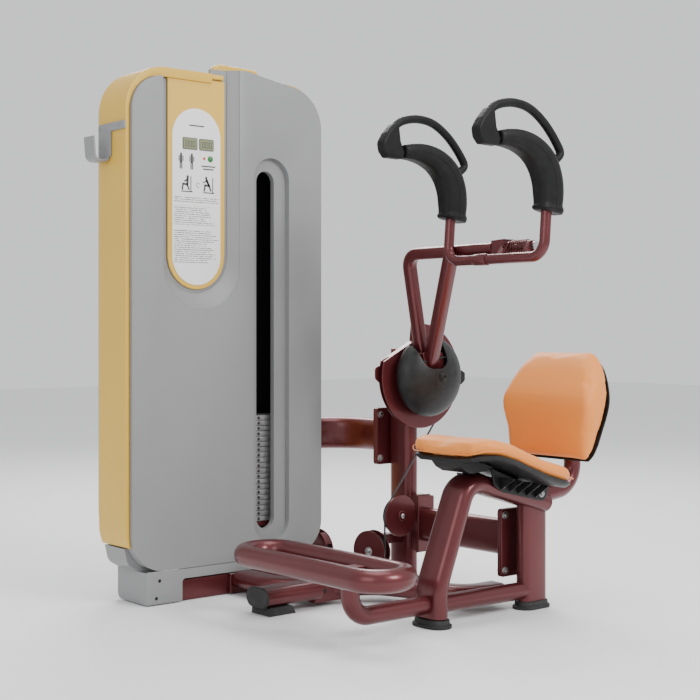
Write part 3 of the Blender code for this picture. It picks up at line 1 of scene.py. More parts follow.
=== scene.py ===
"""Looks of the abdominal crunch machine: panels, painted frame, upholstery and running gear,
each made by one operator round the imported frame.
Lengths are metres.  Pieces are drawn in the machine's own corner frame: X from the tower's
outer side towards the back rest, Y from the tower's face away from the seat, Z from the floor."""

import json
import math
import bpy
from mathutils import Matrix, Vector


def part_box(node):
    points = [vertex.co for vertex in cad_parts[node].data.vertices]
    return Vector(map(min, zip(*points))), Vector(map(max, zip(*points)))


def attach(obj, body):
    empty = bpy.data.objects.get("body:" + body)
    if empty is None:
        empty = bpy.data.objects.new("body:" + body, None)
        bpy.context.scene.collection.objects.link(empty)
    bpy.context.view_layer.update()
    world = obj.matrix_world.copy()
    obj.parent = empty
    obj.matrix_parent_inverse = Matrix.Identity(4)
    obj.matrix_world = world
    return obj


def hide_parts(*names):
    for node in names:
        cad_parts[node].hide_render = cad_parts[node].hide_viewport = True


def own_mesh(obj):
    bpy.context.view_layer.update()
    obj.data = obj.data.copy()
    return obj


bl_info = {
    "name": "Abdominal Crunch Machine",
    "version": (1, 0, 0),
    "blender": (4, 5, 0),
    "location": "View3D > Sidebar > Crunch Machine",
    "description": "Panels, frame, pads and running gear of a seated crunch machine",
    "category": "Object",
}

import bmesh
import bpy
from bpy.props import FloatProperty, FloatVectorProperty, IntProperty, PointerProperty
from mathutils import Matrix, Vector

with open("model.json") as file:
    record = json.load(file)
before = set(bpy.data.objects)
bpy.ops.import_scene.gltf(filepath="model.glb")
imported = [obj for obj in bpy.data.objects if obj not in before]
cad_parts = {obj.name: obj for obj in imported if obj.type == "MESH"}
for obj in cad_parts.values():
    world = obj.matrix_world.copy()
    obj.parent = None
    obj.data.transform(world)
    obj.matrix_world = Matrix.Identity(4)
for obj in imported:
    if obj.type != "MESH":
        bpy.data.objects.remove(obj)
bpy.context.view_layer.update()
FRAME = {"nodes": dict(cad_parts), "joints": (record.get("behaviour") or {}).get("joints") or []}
JOINT = {j["name"]: Vector(j["pos_m"]) for j in FRAME["joints"] if "pos_m" in j}

SHROUD_EDGE = 0.004       # the front shroud starts this far inside the tower's outer side
CORNER = Vector((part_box("front_shroud")[0].x - SHROUD_EDGE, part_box("front_shroud")[0].y, 0.0))
USER_Y = JOINT["handle_swivel"].y - CORNER.y
PIVOT = JOINT["arm_swing"] - CORNER
SWIVEL = JOINT["handle_swivel"] - CORNER
AXIS_X = Vector((1, 0, 0))
AXIS_Y = Vector((0, 1, 0))
AXIS_Z = Vector((0, 0, 1))


# ------------------------------------------------------------------ user values
class TowerLook(bpy.types.PropertyGroup):
    shroud_colour: FloatVectorProperty(
        name="Shroud", description="Moulded front and rear panels", subtype="COLOR",
        default=(0.235, 0.238, 0.240))
    shell_colour: FloatVectorProperty(
        name="Shell", description="Side shell and label strip", subtype="COLOR",
        default=(0.66, 0.405, 0.050))
    depth: FloatProperty(
        name="Shroud depth", description="Thickness of the front panel", unit="LENGTH",
        default=0.036)
    plates: IntProperty(
        name="Plates", description="Number of plates in the stack", default=20, min=2)


class FrameLook(bpy.types.PropertyGroup):
    paint_colour: FloatVectorProperty(
        name="Frame paint", description="Metallic paint of the tubes", subtype="COLOR",
        default=(0.112, 0.017, 0.020))
    oval_width: FloatProperty(
        name="Oval tube width", description="Long way of the frame tube", unit="LENGTH",
        default=0.100)
    oval_depth: FloatProperty(
        name="Oval tube depth", description="Short way of the frame tube", unit="LENGTH",
        default=0.052)
    round_tube: FloatProperty(
        name="Round tube", description="Diameter of the round frame tube", unit="LENGTH",
        default=0.050)


class PadLook(bpy.types.PropertyGroup):
    cover_colour: FloatVectorProperty(
        name="Cover", description="Coated cloth of seat and back rest", subtype="COLOR",
        default=(0.82, 0.262, 0.034))
    swell: FloatProperty(
        name="Swell", description="How far the stuffing may push the cover out",
        unit="LENGTH", default=0.006)


# ------------------------------------------------------------------ shader writing
class Wire:
    """One output of a node; arithmetic on it adds Math nodes."""

    def __init__(self, finish, socket):
        self.finish = finish
        self.socket = socket

    def _math(self, operation, *values):
        return self.finish.node("ShaderNodeMath", {"operation": operation}, list(values))

    def __add__(self, other):
        return self._math("ADD", self, other)

    def __radd__(self, other):
        return self._math("ADD", other, self)

    def __sub__(self, other):
        return self._math("SUBTRACT", self, other)

    def __rsub__(self, other):
        return self._math("SUBTRACT", other, self)

    def __mul__(self, other):
        return self._math("MULTIPLY", self, other)

    def __rmul__(self, other):
        return self._math("MULTIPLY", other, self)

    def __truediv__(self, other):
        return self._math("DIVIDE", self, other)

    def __gt__(self, other):
        return self._math("GREATER_THAN", self, other)

    def __lt__(self, other):
        return self._math("LESS_THAN", self, other)

    def fract(self):
        return self._math("FRACT", self)

    def floor(self):
        return self._math("FLOOR", self)

    def within(self, low, high):
        return (self > low) * (self < high)


class Finish:
    """A material: its Principled shader and the nodes that feed it."""

    def __init__(self, name, colour, roughness, metallic=0.0, **fixed):
        self.material = bpy.data.materials.new(name)
        self.material.use_nodes = True
        self.tree = self.material.node_tree
        self.shader = self.tree.nodes["Principled BSDF"]
        self.colour = tuple(colour) + (1.0,)
        self.shader.inputs["Base Color"].default_value = self.colour
        self.shader.inputs["Roughness"].default_value = roughness
        self.shader.inputs["Metallic"].default_value = metallic
        for key, value in fixed.items():
            self.shader.inputs[key.replace("_", " ")].default_value = value
        coords = self.tree.nodes.new("ShaderNodeTexCoord")
        self.place = Wire(self, coords.outputs["Object"])

    def node(self, kind, settings=None, values=(), output=0):
        """Adds a node: its settings first, then its sockets by order or by name."""
        made = self.tree.nodes.new(kind)
        for key, value in (settings or {}).items():
            if key == "stops":
                self._stops(made.color_ramp, value)
            else:
                setattr(made, key, value)
        pairs = values.items() if isinstance(values, dict) else enumerate(values)
        for key, value in pairs:
            if isinstance(value, Wire):
                self.tree.links.new(value.socket, made.inputs[key])
            else:
                made.inputs[key].default_value = value
        return Wire(self, made.outputs[output])

    def _stops(self, ramp, stops):
        while len(ramp.elements) < len(stops):
            ramp.elements.new(0.5)
        for element, (position, value) in zip(ramp.elements, stops):
            element.position = position
            element.color = (value, value, value, 1.0)

    def noise(self, scale, detail=3.0, rough=0.5, stretch=None):
        vector = self.place
        if stretch is not None:
            vector = self.node("ShaderNodeVectorMath", {"operation": "MULTIPLY"},
                               [self.place, stretch])
        return self.node("ShaderNodeTexNoise", {},
                         {"Vector": vector, "Scale": scale, "Detail": detail,
                          "Roughness": rough})

    def cells(self, scale, feature="F1"):
        return self.node("ShaderNodeTexVoronoi", {"feature": feature},
                         {"Vector": self.place, "Scale": scale})

    def ramp(self, factor, *stops):
        return self.node("ShaderNodeValToRGB", {"stops": stops}, [factor])

    def axis(self, letter):
        split = self.tree.nodes.new("ShaderNodeSeparateXYZ")
        self.tree.links.new(self.place.socket, split.inputs[0])
        return Wire(self, split.outputs[letter])

    def mix(self, factor, first, second):
        made = self.tree.nodes.new("ShaderNodeMix")
        made.data_type = "RGBA"
        for key, value in ((0, factor), (6, first), (7, second)):
            if isinstance(value, Wire):
                self.tree.links.new(value.socket, made.inputs[key])
            elif key and len(value) == 3:
                made.inputs[key].default_value = tuple(value) + (1.0,)
            else:
                made.inputs[key].default_value = value
        return Wire(self, made.outputs[2])

    def feed(self, name, wire):
        self.tree.links.new(wire.socket, self.shader.inputs[name])
        return self

    def bump(self, height, strength, distance=0.001):
        bump = self.node("ShaderNodeBump", {},
                         {"Strength": strength, "Distance": distance, "Height": height})
        return self.feed("Normal", bump)


def shade(colour, factor):
    return tuple(min(1.0, c * factor) for c in colour[:3])


def coated_paint():
    """Metallic paint over tube: fine flake, orange peel and a clear coat."""
    colour = bpy.context.scene.crunch_frame.paint_colour
    f = Finish("metallic_maroon", colour, 0.34, 0.55, Coat_Weight=0.35, Coat_Roughness=0.16)
    flake = f.cells(2600.0)
    cloud = f.noise(7.0, 4.0)
    mixed = f.mix(f.ramp(flake, (0.12, 1.0), (0.42, 0.0)), shade(colour, 0.92),
                  shade(colour, 1.7))
    f.feed("Base Color", f.mix(f.ramp(cloud, (0.35, 0.0), (0.7, 0.35)), mixed,
                               shade(colour, 0.72)))
    f.feed("Roughness", 0.27 + f.noise(60.0, 5.0) * 0.14)
    return f.bump(f.noise(420.0, 2.0), 0.10, 0.0006).material


def moulded_panel(name, colour, roughness, metallic=0.0):
    """Large thermoformed panel: fine grain, faint waviness and handling haze."""
    f = Finish(name, colour, roughness, metallic)
    haze = f.noise(2.3, 5.0, 0.6)
    tint = f.mix(f.ramp(haze, (0.3, 0.0), (0.75, 1.0)), shade(colour, 0.95), shade(colour, 1.06))
    f.feed("Base Color", tint)
    f.feed("Roughness", roughness - 0.06 + f.noise(14.0, 4.0) * 0.12)
    return f.bump(f.noise(900.0, 3.0) * 0.7 + f.noise(26.0, 2.0) * 0.3, 0.10, 0.0005).material


def black_plastic():
    f = Finish("black_moulding", (0.010, 0.010, 0.010), 0.42, Specular_IOR_Level=0.32)
    f.feed("Base Color", f.mix(f.ramp(f.noise(40.0, 4.0), (0.4, 0.0), (0.8, 1.0)),
                               (0.008, 0.008, 0.008), (0.017, 0.018, 0.018)))
    f.feed("Roughness", 0.34 + f.noise(120.0, 4.0) * 0.18)
    return f.bump(f.cells(1500.0), 0.16, 0.0004).material


def foam_grip():
    """Integral-skin foam of the arm pads."""
    f = Finish("skinned_foam", (0.005, 0.005, 0.005), 0.5, Specular_IOR_Level=0.20)
    f.feed("Base Color", f.mix(f.ramp(f.noise(30.0, 5.0), (0.35, 0.0), (0.8, 1.0)),
                               (0.004, 0.004, 0.004), (0.009, 0.009, 0.009)))
    f.feed("Roughness", 0.40 + f.noise(80.0, 4.0) * 0.20)
    pores = f.ramp(f.cells(900.0), (0.0, 0.0), (0.35, 1.0))
    return f.bump(pores * 0.6 + f.noise(320.0, 4.0) * 0.4, 0.22, 0.0006).material


def shoe_rubber():
    f = Finish("shoe_rubber", (0.016, 0.016, 0.016), 0.72)
    dust = f.ramp(f.noise(18.0, 6.0, 0.65), (0.45, 0.0), (0.8, 1.0))
    f.feed("Base Color", f.mix(dust, (0.014, 0.014, 0.014), (0.035, 0.034, 0.032)))
    f.feed("Roughness", 0.62 + f.noise(90.0, 3.0) * 0.2)
    return f.bump(f.noise(700.0, 4.0), 0.2, 0.0005).material


def coated_cloth():
    """Upholstery: pebbled coated cloth; the grooves of its grain are painted darker as shade."""
    colour = bpy.context.scene.crunch_pads.cover_colour
    f = Finish("pad_cover", colour, 0.5, Sheen_Weight=0.18, Sheen_Roughness=0.4)
    wash = f.ramp(f.noise(5.0, 5.0, 0.6), (0.3, 0.0), (0.8, 1.0))
    grain = f.cells(620.0, "DISTANCE_TO_EDGE")
    shaded_creases = f.ramp(grain, (0.0, 0.0), (0.10, 1.0))
    base = f.mix(wash, shade(colour, 0.96), shade(colour, 1.04))
    # painted shade: the groove lines of the grain get a darker base colour
    f.feed("Base Color", f.mix(shaded_creases, shade(colour, 0.86), base))
    f.feed("Roughness", 0.58 - shaded_creases * 0.12 + f.noise(22.0, 3.0) * 0.08)
    return f.bump(shaded_creases * 0.75 + f.noise(240.0, 4.0) * 0.5, 0.20, 0.0006).material


def turned_steel():
    f = Finish("turned_steel", (0.56, 0.56, 0.57), 0.28, 1.0)
    streak = f.noise(60.0, 4.0, 0.6, (1.0, 9.0, 1.0))
    f.feed("Base Color", f.mix(streak, (0.42, 0.42, 0.43), (0.68, 0.68, 0.69)))
    f.feed("Roughness", 0.20 + streak * 0.18)
    return f.bump(streak, 0.05, 0.0004).material


def zinc_bolt():
    f = Finish("zinc_bolt", (0.32, 0.31, 0.30), 0.35, 1.0)
    spots = f.noise(220.0, 5.0)
    f.feed("Base Color", f.mix(spots, (0.22, 0.21, 0.20), (0.45, 0.44, 0.43)))
    f.feed("Roughness", 0.28 + spots * 0.2)
    return f.bump(spots, 0.08, 0.0003).material


def stack_iron():
    """Cast plates with worn paint."""
    f = Finish("stack_iron", (0.16, 0.16, 0.16), 0.5, 0.35)
    wear = f.ramp(f.noise(55.0, 7.0, 0.7), (0.45, 0.0), (0.72, 1.0))
    f.feed("Base Color", f.mix(wear, (0.23, 0.23, 0.23), (0.36, 0.36, 0.36)))
    f.feed("Roughness", 0.42 + wear * 0.16)
    return f.bump(f.noise(260.0, 5.0), 0.25, 0.0005).material


def cable_jacket():
    f = Finish("cable_jacket", (0.020, 0.020, 0.020), 0.38)
    f.feed("Base Color", f.mix(f.noise(300.0, 2.0), (0.015, 0.015, 0.015),
                               (0.030, 0.030, 0.030)))
    return f.bump(f.noise(900.0, 2.0), 0.1, 0.0003).material


def printed_card():
    """White label with rows of grey marks that stand for printed guidance."""
    f = Finish("printed_card", (0.80, 0.80, 0.79), 0.32, Coat_Weight=0.25)
    across = f.axis("X")
    up = f.axis("Z")
    left = CORNER.x + 0.166
    rows = up / 0.0062
    line = rows.fract().within(0.30, 0.66)
    words = f.node("ShaderNodeTexNoise", {"noise_dimensions": "2D"},
                   {"Vector": f.node("ShaderNodeCombineXYZ", {},
                                     [across * 260.0, rows.floor() * 7.31, 0.0]),
                    "Scale": 1.0, "Detail": 2.0})
    dash = words > 0.42
    width = f.node("ShaderNodeTexWhiteNoise", {"noise_dimensions": "1D"},
                   {"W": rows.floor()}, "Value")
    margin = (across > left) * (across < (left + 0.105) + width * 0.055)
    blocks = (up.within(1.000, 1.098) + up.within(1.112, 1.168) + up.within(1.178, 1.196))
    ink = line * dash * margin * blocks
    speck = f.noise(60.0, 2.0) * 0.03
    f.feed("Base Color", f.mix(ink * 0.95, (0.80, 0.80, 0.79), (0.05, 0.05, 0.05)))
    f.feed("Roughness", 0.30 + speck)
    return f.bump(f.noise(300.0, 2.0), 0.04, 0.0003).material


def plain(name, colour, roughness, metallic=0.0, grain=400.0, depth=0.06, **fixed):
    """Small parts: slight tint change and a fine grain."""
    f = Finish(name, colour, roughness, metallic, **fixed)
    tone = f.noise(grain * 0.1, 3.0)
    f.feed("Base Color", f.mix(tone, shade(colour, 0.88), shade(colour, 1.10)))
    f.feed("Roughness", roughness - 0.04 + tone * 0.08)
    return f.bump(f.noise(grain, 3.0), depth, 0.0004).material


FINISHES = {}


def finish(name):
    """The finish of that name, made once."""
    if name not in FINISHES:
        tower = bpy.context.scene.crunch_tower
        makers = {
            "paint": coated_paint,
            "shroud": lambda: moulded_panel("grey_panel", tower.shroud_colour, 0.44),
            "shell": lambda: moulded_panel("gold_panel", tower.shell_colour, 0.42),
            "black": black_plastic,
            "foam": foam_grip,
            "rubber": shoe_rubber,
            "cloth": coated_cloth,
            "steel": turned_steel,
            "zinc": zinc_bolt,
            "iron": stack_iron,
            "cable": cable_jacket,
            "card": printed_card,
            "ink": lambda: plain("printed_ink", (0.05, 0.05, 0.05), 0.5),
            "window": lambda: plain("display_window", (0.20, 0.22, 0.12), 0.12, 0.0, 120.0,
                                    0.01, Coat_Weight=0.6),
            "bezel": lambda: plain("display_bezel", (0.05, 0.055, 0.045), 0.3),
            "button": lambda: plain("green_button", (0.02, 0.16, 0.03), 0.3),
            "lamp": lambda: plain("red_lamp", (0.55, 0.03, 0.03), 0.25),
            # painted shade: near-black finish laid where only shade is seen, in holes and inside
            # the tower
            "hole": lambda: plain("shadowed_hole", (0.006, 0.006, 0.006), 0.7),
        }
        FINISHES[name] = makers[name]()
    return FINISHES[name]


# ------------------------------------------------------------------ modelling helpers
def middle(node):
    """Middle of a CAD node's box, in the machine's corner frame."""
    low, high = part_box(node)
    return (low + high) / 2.0 - CORNER


def add(name, bm, look, body, replaces=(), slot=None, angle=32.0, edges=None):
    """Finishes a piece: welds it, puts it in the row frame, paints it, and lets it ride.
    edges holds the width, segments and least angle of a live bevel."""
    bmesh.ops.remove_doubles(bm, verts=bm.verts, dist=0.00001)
    bmesh.ops.recalc_face_normals(bm, faces=bm.faces)
    bmesh.ops.translate(bm, verts=bm.verts, vec=CORNER)
    mesh = bpy.data.meshes.new(name)
    bm.to_mesh(mesh)
    bm.free()
    mesh.materials.append(finish(look))
    obj = bpy.data.objects.new(name, mesh)
    bpy.context.scene.collection.objects.link(obj)
    soften(obj, angle)
    if body is not None:
        settle(obj, body, replaces)
    if edges:
        round_edges(obj, *edges)
    return obj


def painted(name, bm, replaces=(), body="frame", **extra):
    """A piece in the frame's paint."""
    return add(name, bm, "paint", body, replaces, "maroon_paint", **extra)


def tube(half, stations, closed=False):
    """A section (radius, half width, half height, steps) pulled through stations."""
    bm = bmesh.new()
    skin(bm, section(bm, *half), stations, closed)
    return bm


def drill(radius, low, high, centre, axis, steps):
    """A round cutter from low to high along the axis."""
    return blank(turned([(0.0, low), (radius, low), (radius, high), (0.0, high)], centre, axis,
                        steps))


def soften(obj, angle=32.0):
    """Smooth shading, sharp across edges steeper than the angle."""
    obj.data.shade_smooth()
    obj.data.set_sharp_from_angle(angle=math.radians(angle))


def settle(obj, body, replaces=()):
    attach(obj, body)
    if replaces:
        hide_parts(*([replaces] if isinstance(replaces, str) else replaces))
    return obj


def round_edges(obj, width, segments=3, angle=30.0):
    """Live bevel on edges steeper than the angle."""
    mod = obj.modifiers.new("edges", "BEVEL")
    mod.width = width
    mod.segments = segments
    mod.limit_method = "ANGLE"
    mod.angle_limit = math.radians(angle)
    mod.miter_outer = "MITER_ARC"
    return obj


def bake(obj):
    """Applies the modifiers of a piece."""
    deps = bpy.context.evaluated_depsgraph_get()
    mesh = bpy.data.meshes.new_from_object(obj.evaluated_get(deps))
    obj.modifiers.clear()
    obj.data = mesh
    return obj


def carve(obj, tool, operation="DIFFERENCE"):
    mod = obj.modifiers.new("carve", "BOOLEAN")
    mod.operation = operation
    mod.solver = "EXACT"
    mod.object = tool
    bake(obj)
    bpy.data.objects.remove(tool, do_unlink=True)
    bm = bmesh.new()
    bm.from_mesh(obj.data)
    bmesh.ops.remove_doubles(bm, verts=bm.verts, dist=0.00001)
    bmesh.ops.dissolve_limit(bm, angle_limit=math.radians(0.5), verts=bm.verts,
                             edges=bm.edges, use_dissolve_boundaries=False)
    bm.to_mesh(obj.data)
    bm.free()
    return obj


def blank(bm, name="tool"):
    """A bare object for carving with, in the row frame."""
    bmesh.ops.remove_doubles(bm, verts=bm.verts, dist=0.00001)
    bmesh.ops.recalc_face_normals(bm, faces=bm.faces)
    bmesh.ops.translate(bm, verts=bm.verts, vec=CORNER)
    mesh = bpy.data.meshes.new(name)
    bm.to_mesh(mesh)
    bm.free()
    obj = bpy.data.objects.new(name, mesh)
    bpy.context.scene.collection.objects.link(obj)
    return obj


PLANES = {
    "XZ": Matrix(((1, 0, 0, 0), (0, 0, 1, 0), (0, 1, 0, 0), (0, 0, 0, 1))),
    "YZ": Matrix(((0, 0, 1, 0), (1, 0, 0, 0), (0, 1, 0, 0), (0, 0, 0, 1))),
    "XY": Matrix.Identity(4),
}


def rect(x0, y0, x1, y1, radius=0.0):
    """Corners of a rectangle, all rounded alike."""
    return [(x0, y0, radius), (x1, y0, radius), (x1, y1, radius), (x0, y1, radius)]


def outline(bm, corners, segments=8):
    """A face in the XY plane; its corners (x, y, radius) are rounded by a vertex bevel."""
    verts = [bm.verts.new((a, b, 0.0)) for a, b, r in corners]
    bm.faces.new(verts)
    known = verts[0]
    for vert, (a, b, r) in zip(verts, corners):
        if r > 0.0:
            first, second = [(e.other_vert(vert).co - vert.co).normalized()
                             for e in vert.link_edges]
            made = bmesh.ops.bevel(bm, geom=[vert], offset=r / math.tan(first.angle(second) / 2),
                                   offset_type="OFFSET", segments=segments, profile=0.5,
                                   affect="VERTICES", material=-1)
            known = made["verts"][0]
    return known.link_faces[0]


def slab(bm, plane, corners, low, high, segments=8):
    """A plate: a rounded outline in the plane, extruded from low to high."""
    face = outline(bm, corners, segments)
    bmesh.ops.translate(bm, verts=face.verts, vec=(0, 0, low))
    start = face.verts[0]
    made = bmesh.ops.extrude_face_region(bm, geom=[face])["geom"]
    top = [g for g in made if isinstance(g, bmesh.types.BMVert)]
    bmesh.ops.translate(bm, verts=top, vec=(0, 0, high - low))
    group = linked(start)
    bmesh.ops.transform(bm, matrix=PLANES[plane], verts=group)
    return group


def edges_of(verts):
    """The edges that touch the vertices, each once and in a fixed order."""
    return list(dict.fromkeys(e for v in verts for e in v.link_edges))


def linked(start):
    """All vertices joined to the first one, in a fixed order."""
    seen = {start: True}
    queue = [start]
    while queue:
        for edge in queue.pop().link_edges:
            for vert in edge.verts:
                if vert not in seen:
                    seen[vert] = True
                    queue.append(vert)
    return list(seen)


def plate(plane, corners, low, high, segments=8):
    bm = bmesh.new()
    slab(bm, plane, corners, low, high, segments)
    return bm


def section(bm, radius, half_a=0.0, half_b=0.0, steps=5):
    """A rounded rectangle round the origin; a circle where both halves are 0."""
    turn = Matrix.Rotation(math.pi / (4 * steps), 4, "Z")
    verts = bmesh.ops.create_circle(bm, segments=4 * steps, radius=radius, matrix=turn)["verts"]
    for vert in verts:
        vert.co.x += math.copysign(half_a, vert.co.x)
        vert.co.y += math.copysign(half_b, vert.co.y)
    return verts


def skin(bm, verts, stations, closed=False):
    """Pulls a section through a list of matrices by extruding it."""
    edges = edges_of(verts)
    bmesh.ops.transform(bm, matrix=stations[0], verts=verts)
    first = edges
    for before, after in zip(stations, stations[1:]):
        made = bmesh.ops.extrude_edge_only(bm, edges=edges)["geom"]
        verts = [g for g in made if isinstance(g, bmesh.types.BMVert)]
        fresh = set(verts)
        edges = [e for e in edges_of(verts) if fresh.issuperset(e.verts)]
        bmesh.ops.transform(bm, matrix=after @ before.inverted(), verts=verts)
    if closed:
        bmesh.ops.bridge_loops(bm, edges=first + edges)
    else:
        bmesh.ops.edgeloop_fill(bm, edges=first)
        bmesh.ops.edgeloop_fill(bm, edges=edges)


def along(points, normal, closed=False):
    """Stations for a path that lies in one plane: section x along the normal."""
    pts = [Vector(p) for p in points]
    up = Vector(normal).normalized()
    count = len(pts)
    out = []
    for i, p in enumerate(pts):
        into = p - pts[i - 1] if (i or closed) else pts[1] - p
        away = pts[(i + 1) % count] - p if (i < count - 1 or closed) else into
        into = into.normalized()
        away = away.normalized()
        tangent = (into + away).normalized()
        across = tangent.cross(up).normalized()
        stretch = 1.0 / max(0.5, tangent.dot(away))
        m = Matrix((up, across * stretch, tangent)).transposed().to_4x4()
        m.translation = p
        out.append(m)
    return out


def free_along(points):
    """Stations for any path, without twist."""
    pts = [Vector(p) for p in points]
    tangent = (pts[1] - pts[0]).normalized()
    side = AXIS_Z if abs(tangent.z) < 0.9 else AXIS_X
    u = tangent.cross(side).normalized()
    out = []
    for i, p in enumerate(pts):
        tangent = (pts[min(i + 1, len(pts) - 1)] - pts[max(i - 1, 0)]).normalized()
        u = (u - tangent * u.dot(tangent)).normalized()
        m = Matrix((u, tangent.cross(u), tangent)).transposed().to_4x4()
        m.translation = p
        out.append(m)
    return out


def rounded(points, steps=9):
    """A path whose inner corners (x, y, z, radius) are turned into arcs."""
    out = [Vector(points[0][:3])]
    for before, here, after in zip(points, points[1:], points[2:]):
        p = Vector(here[:3])
        r = here[3]
        a = (Vector(before[:3]) - p).normalized()
        b = (Vector(after[:3]) - p).normalized()
        angle = a.angle(b)
        reach = r / math.tan(angle / 2.0)
        centre = p + (a + b).normalized() * (r / math.sin(angle / 2.0))
        u = p + a * reach - centre
        v = p + b * reach - centre
        sweep = u.angle(v)
        for k in range(steps + 1):
            t = k / steps
            w = u * math.sin((1 - t) * sweep) + v * math.sin(t * sweep)
            out.append(centre + w / math.sin(sweep))
    out.append(Vector(points[-1][:3]))
    return out


def turn(bm, profile, centre, axis, steps=48):
    """A turned shape: (radius, offset along the axis) pairs spun round it."""
    c = Vector(centre)
    t = Vector(axis).normalized()
    side = AXIS_Z if abs(t.z) < 0.9 else AXIS_X
    u = t.cross(side).normalized()
    verts = [bm.verts.new(c + u * r + t * h) for r, h in profile]
    edges = [bm.edges.new(pair) for pair in zip(verts, verts[1:])]
    if profile[0][0] > 1e-6:
        edges.append(bm.edges.new((verts[-1], verts[0])))
    bmesh.ops.spin(bm, geom=verts + edges, cent=c, axis=t, angle=2 * math.pi, steps=steps,
                   use_merge=True)
    bmesh.ops.remove_doubles(bm, verts=bm.verts, dist=0.000005)


def turned(profile, centre, axis, steps=48):
    bm = bmesh.new()
    turn(bm, profile, centre, axis, steps)
    return bm


def bolt_head(bm, centre, axis, radius=0.008, height=0.005):
    """A hexagon head on a washer."""
    t = Vector(axis).normalized()
    c = Vector(centre)
    facing = t.to_track_quat("Z", "Y").to_matrix().to_4x4()
    for sides, r, low, high in ((24, radius * 1.45, 0.0, 0.0014), (6, radius, 0.0014, height)):
        spot = Matrix.Translation(c + t * (low + high) / 2.0) @ facing
        made = bmesh.ops.create_cone(bm, cap_ends=True, segments=sides, radius1=r,
                                     radius2=r * (1.0 if sides == 24 else 0.97),
                                     depth=high - low, matrix=spot)["verts"]
        rim = [e for e in edges_of(made)
               if all((v.co - c).dot(t) > high - 1e-5 for v in e.verts)]
        bmesh.ops.bevel(bm, geom=rim, offset=0.0005, segments=2, profile=0.5,
                        affect="EDGES", material=-1)


def screw_head(bm, centre, axis, radius=0.008):
    """A socket button head."""
    profile = [(0.0, 0.0012), (radius * 0.36, 0.0012), (radius * 0.42, radius * 0.42),
               (radius * 0.70, radius * 0.38), (radius * 0.93, radius * 0.22),
               (radius, 0.0), (0.0, 0.0)]
    turn(bm, profile, centre, axis, 24)


def arc_points(centre, radius, start, end, steps, plane="XZ"):
    """Points on an arc, degrees measured from the plane's first axis."""
    out = []
    for k in range(steps + 1):
        a = math.radians(start + (end - start) * k / steps)
        p = Vector((radius * math.cos(a), radius * math.sin(a), 0.0))
        out.append(Vector(centre) + PLANES[plane] @ p)
    return out


# ------------------------------------------------------------------ tower
SHROUD_SIDE = 0.014       # the panel stands this far inside the shell's side
LOBE_TOP = 1.541          # top of the panel left of the label
SHROUD_CORNERS = [(SHROUD_SIDE, 0.098, 0.108), (0.708, 0.098, 0.100), (0.708, 1.545, 0.125),
                  (0.520, 1.572, 0.200), (0.420, 1.590, 0.060), (0.300, 1.586, 0.0),
                  (0.300, LOBE_TOP, 0.0), (SHROUD_SIDE, LOBE_TOP, 0.105)]
CHANNEL = (0.125, 0.358, 0.912)      # left wall, right wall, lowest point
CHANNEL_TOP = 1.70
CHANNEL_FLOOR = 0.0262
CHANNEL_FLARE = 0.040
SLOT_MID = 0.499
SLOT_HALF = 0.0340
SLOT_ENDS = (0.184, 1.292)
RECESS_HALF = 0.068
RECESS_ENDS = (0.144, 1.332)
RECESS_FLOOR = 0.018


def capsule(bm, mid, half, ends, low, high, steps=12):
    r = half * 0.9999
    corners = rect(mid - half, ends[0], mid + half, ends[1], r)
    return slab(bm, "XZ", corners, low, high, steps)


def channel_tool():
    """Cutter whose walls roll out towards the face, most on the right and below."""
    left, right, bottom = CHANNEL
    half = (right - left) / 2.0 * 0.9999
    bm = bmesh.new()
    face = outline(bm, [(left, CHANNEL_TOP, 0.0), (left, bottom, half), (right, bottom, half),
                        (right, CHANNEL_TOP, 0.0)], 18)
    ring = list(face.verts)
    bmesh.ops.delete(bm, geom=[face], context="FACES_ONLY")
    stations = []
    steps = 10
    for k in range(steps + 2):
        t = min(1.0, k / steps)
        grow = t * t * (3 - 2 * t)
        depth = CHANNEL_FLOOR * (1.0 - t) if k <= steps else -0.02
        wide = 1.0 + CHANNEL_FLARE * grow / (right - left)
        tall = 1.0 + 0.050 * grow / (CHANNEL_TOP - bottom)
        place = Matrix.Translation((left - 0.007 * grow, depth, CHANNEL_TOP))
        grown = Matrix.Diagonal((wide, 1.0, tall, 1.0))
        back = Matrix.Translation((-left, 0.0, -CHANNEL_TOP))
        stations.append(place @ grown @ back @ PLANES["XZ"])
    skin(bm, ring, stations)
    return blank(bm)


def front_shroud():
    depth = bpy.context.scene.crunch_tower.depth
    obj = add("front_shroud_panel", plate("XZ", SHROUD_CORNERS, 0.0, depth, 12), "shroud", None)
    hood = [(0.372, 1.5716, 0.0), (0.575, 1.5716, 0.0), (0.5749, 1.5730, 0.0),
            (0.520, 1.5848, 0.2), (0.420, 1.5895, 0.05), (0.372, 1.5880, 0.0)]
    carve(obj, blank(plate("XZ", hood, depth - 0.004, 0.130, 4)), "UNION")
    carve(obj, channel_tool())
    bm = bmesh.new()
    capsule(bm, SLOT_MID + 0.012, RECESS_HALF, RECESS_ENDS, -0.02, RECESS_FLOOR)
    carve(obj, blank(bm))
    bm = bmesh.new()
    capsule(bm, SLOT_MID, SLOT_HALF, SLOT_ENDS, -0.02, 0.08)
    carve(obj, blank(bm))
    round_edges(obj, 0.0055, 4)
    settle(obj, "frame", "front_shroud")


def ring_band(name, look, corners, low, high, wall):
    """A band with a rounded-rectangle outline, open at both ends."""
    obj = add(name, plate("XZ", corners, low, high, 14), look, None)
    inner = []
    mid_x = sum(c[0] for c in corners) / len(corners)
    mid_z = sum(c[1] for c in corners) / len(corners)
    for x, z, r in corners:
        inner.append((x - math.copysign(wall, x - mid_x), z - math.copysign(wall, z - mid_z),
                      max(0.0, r - wall)))
    carve(obj, blank(plate("XZ", inner, low - 0.05, high + 0.05, 14)))
    return obj


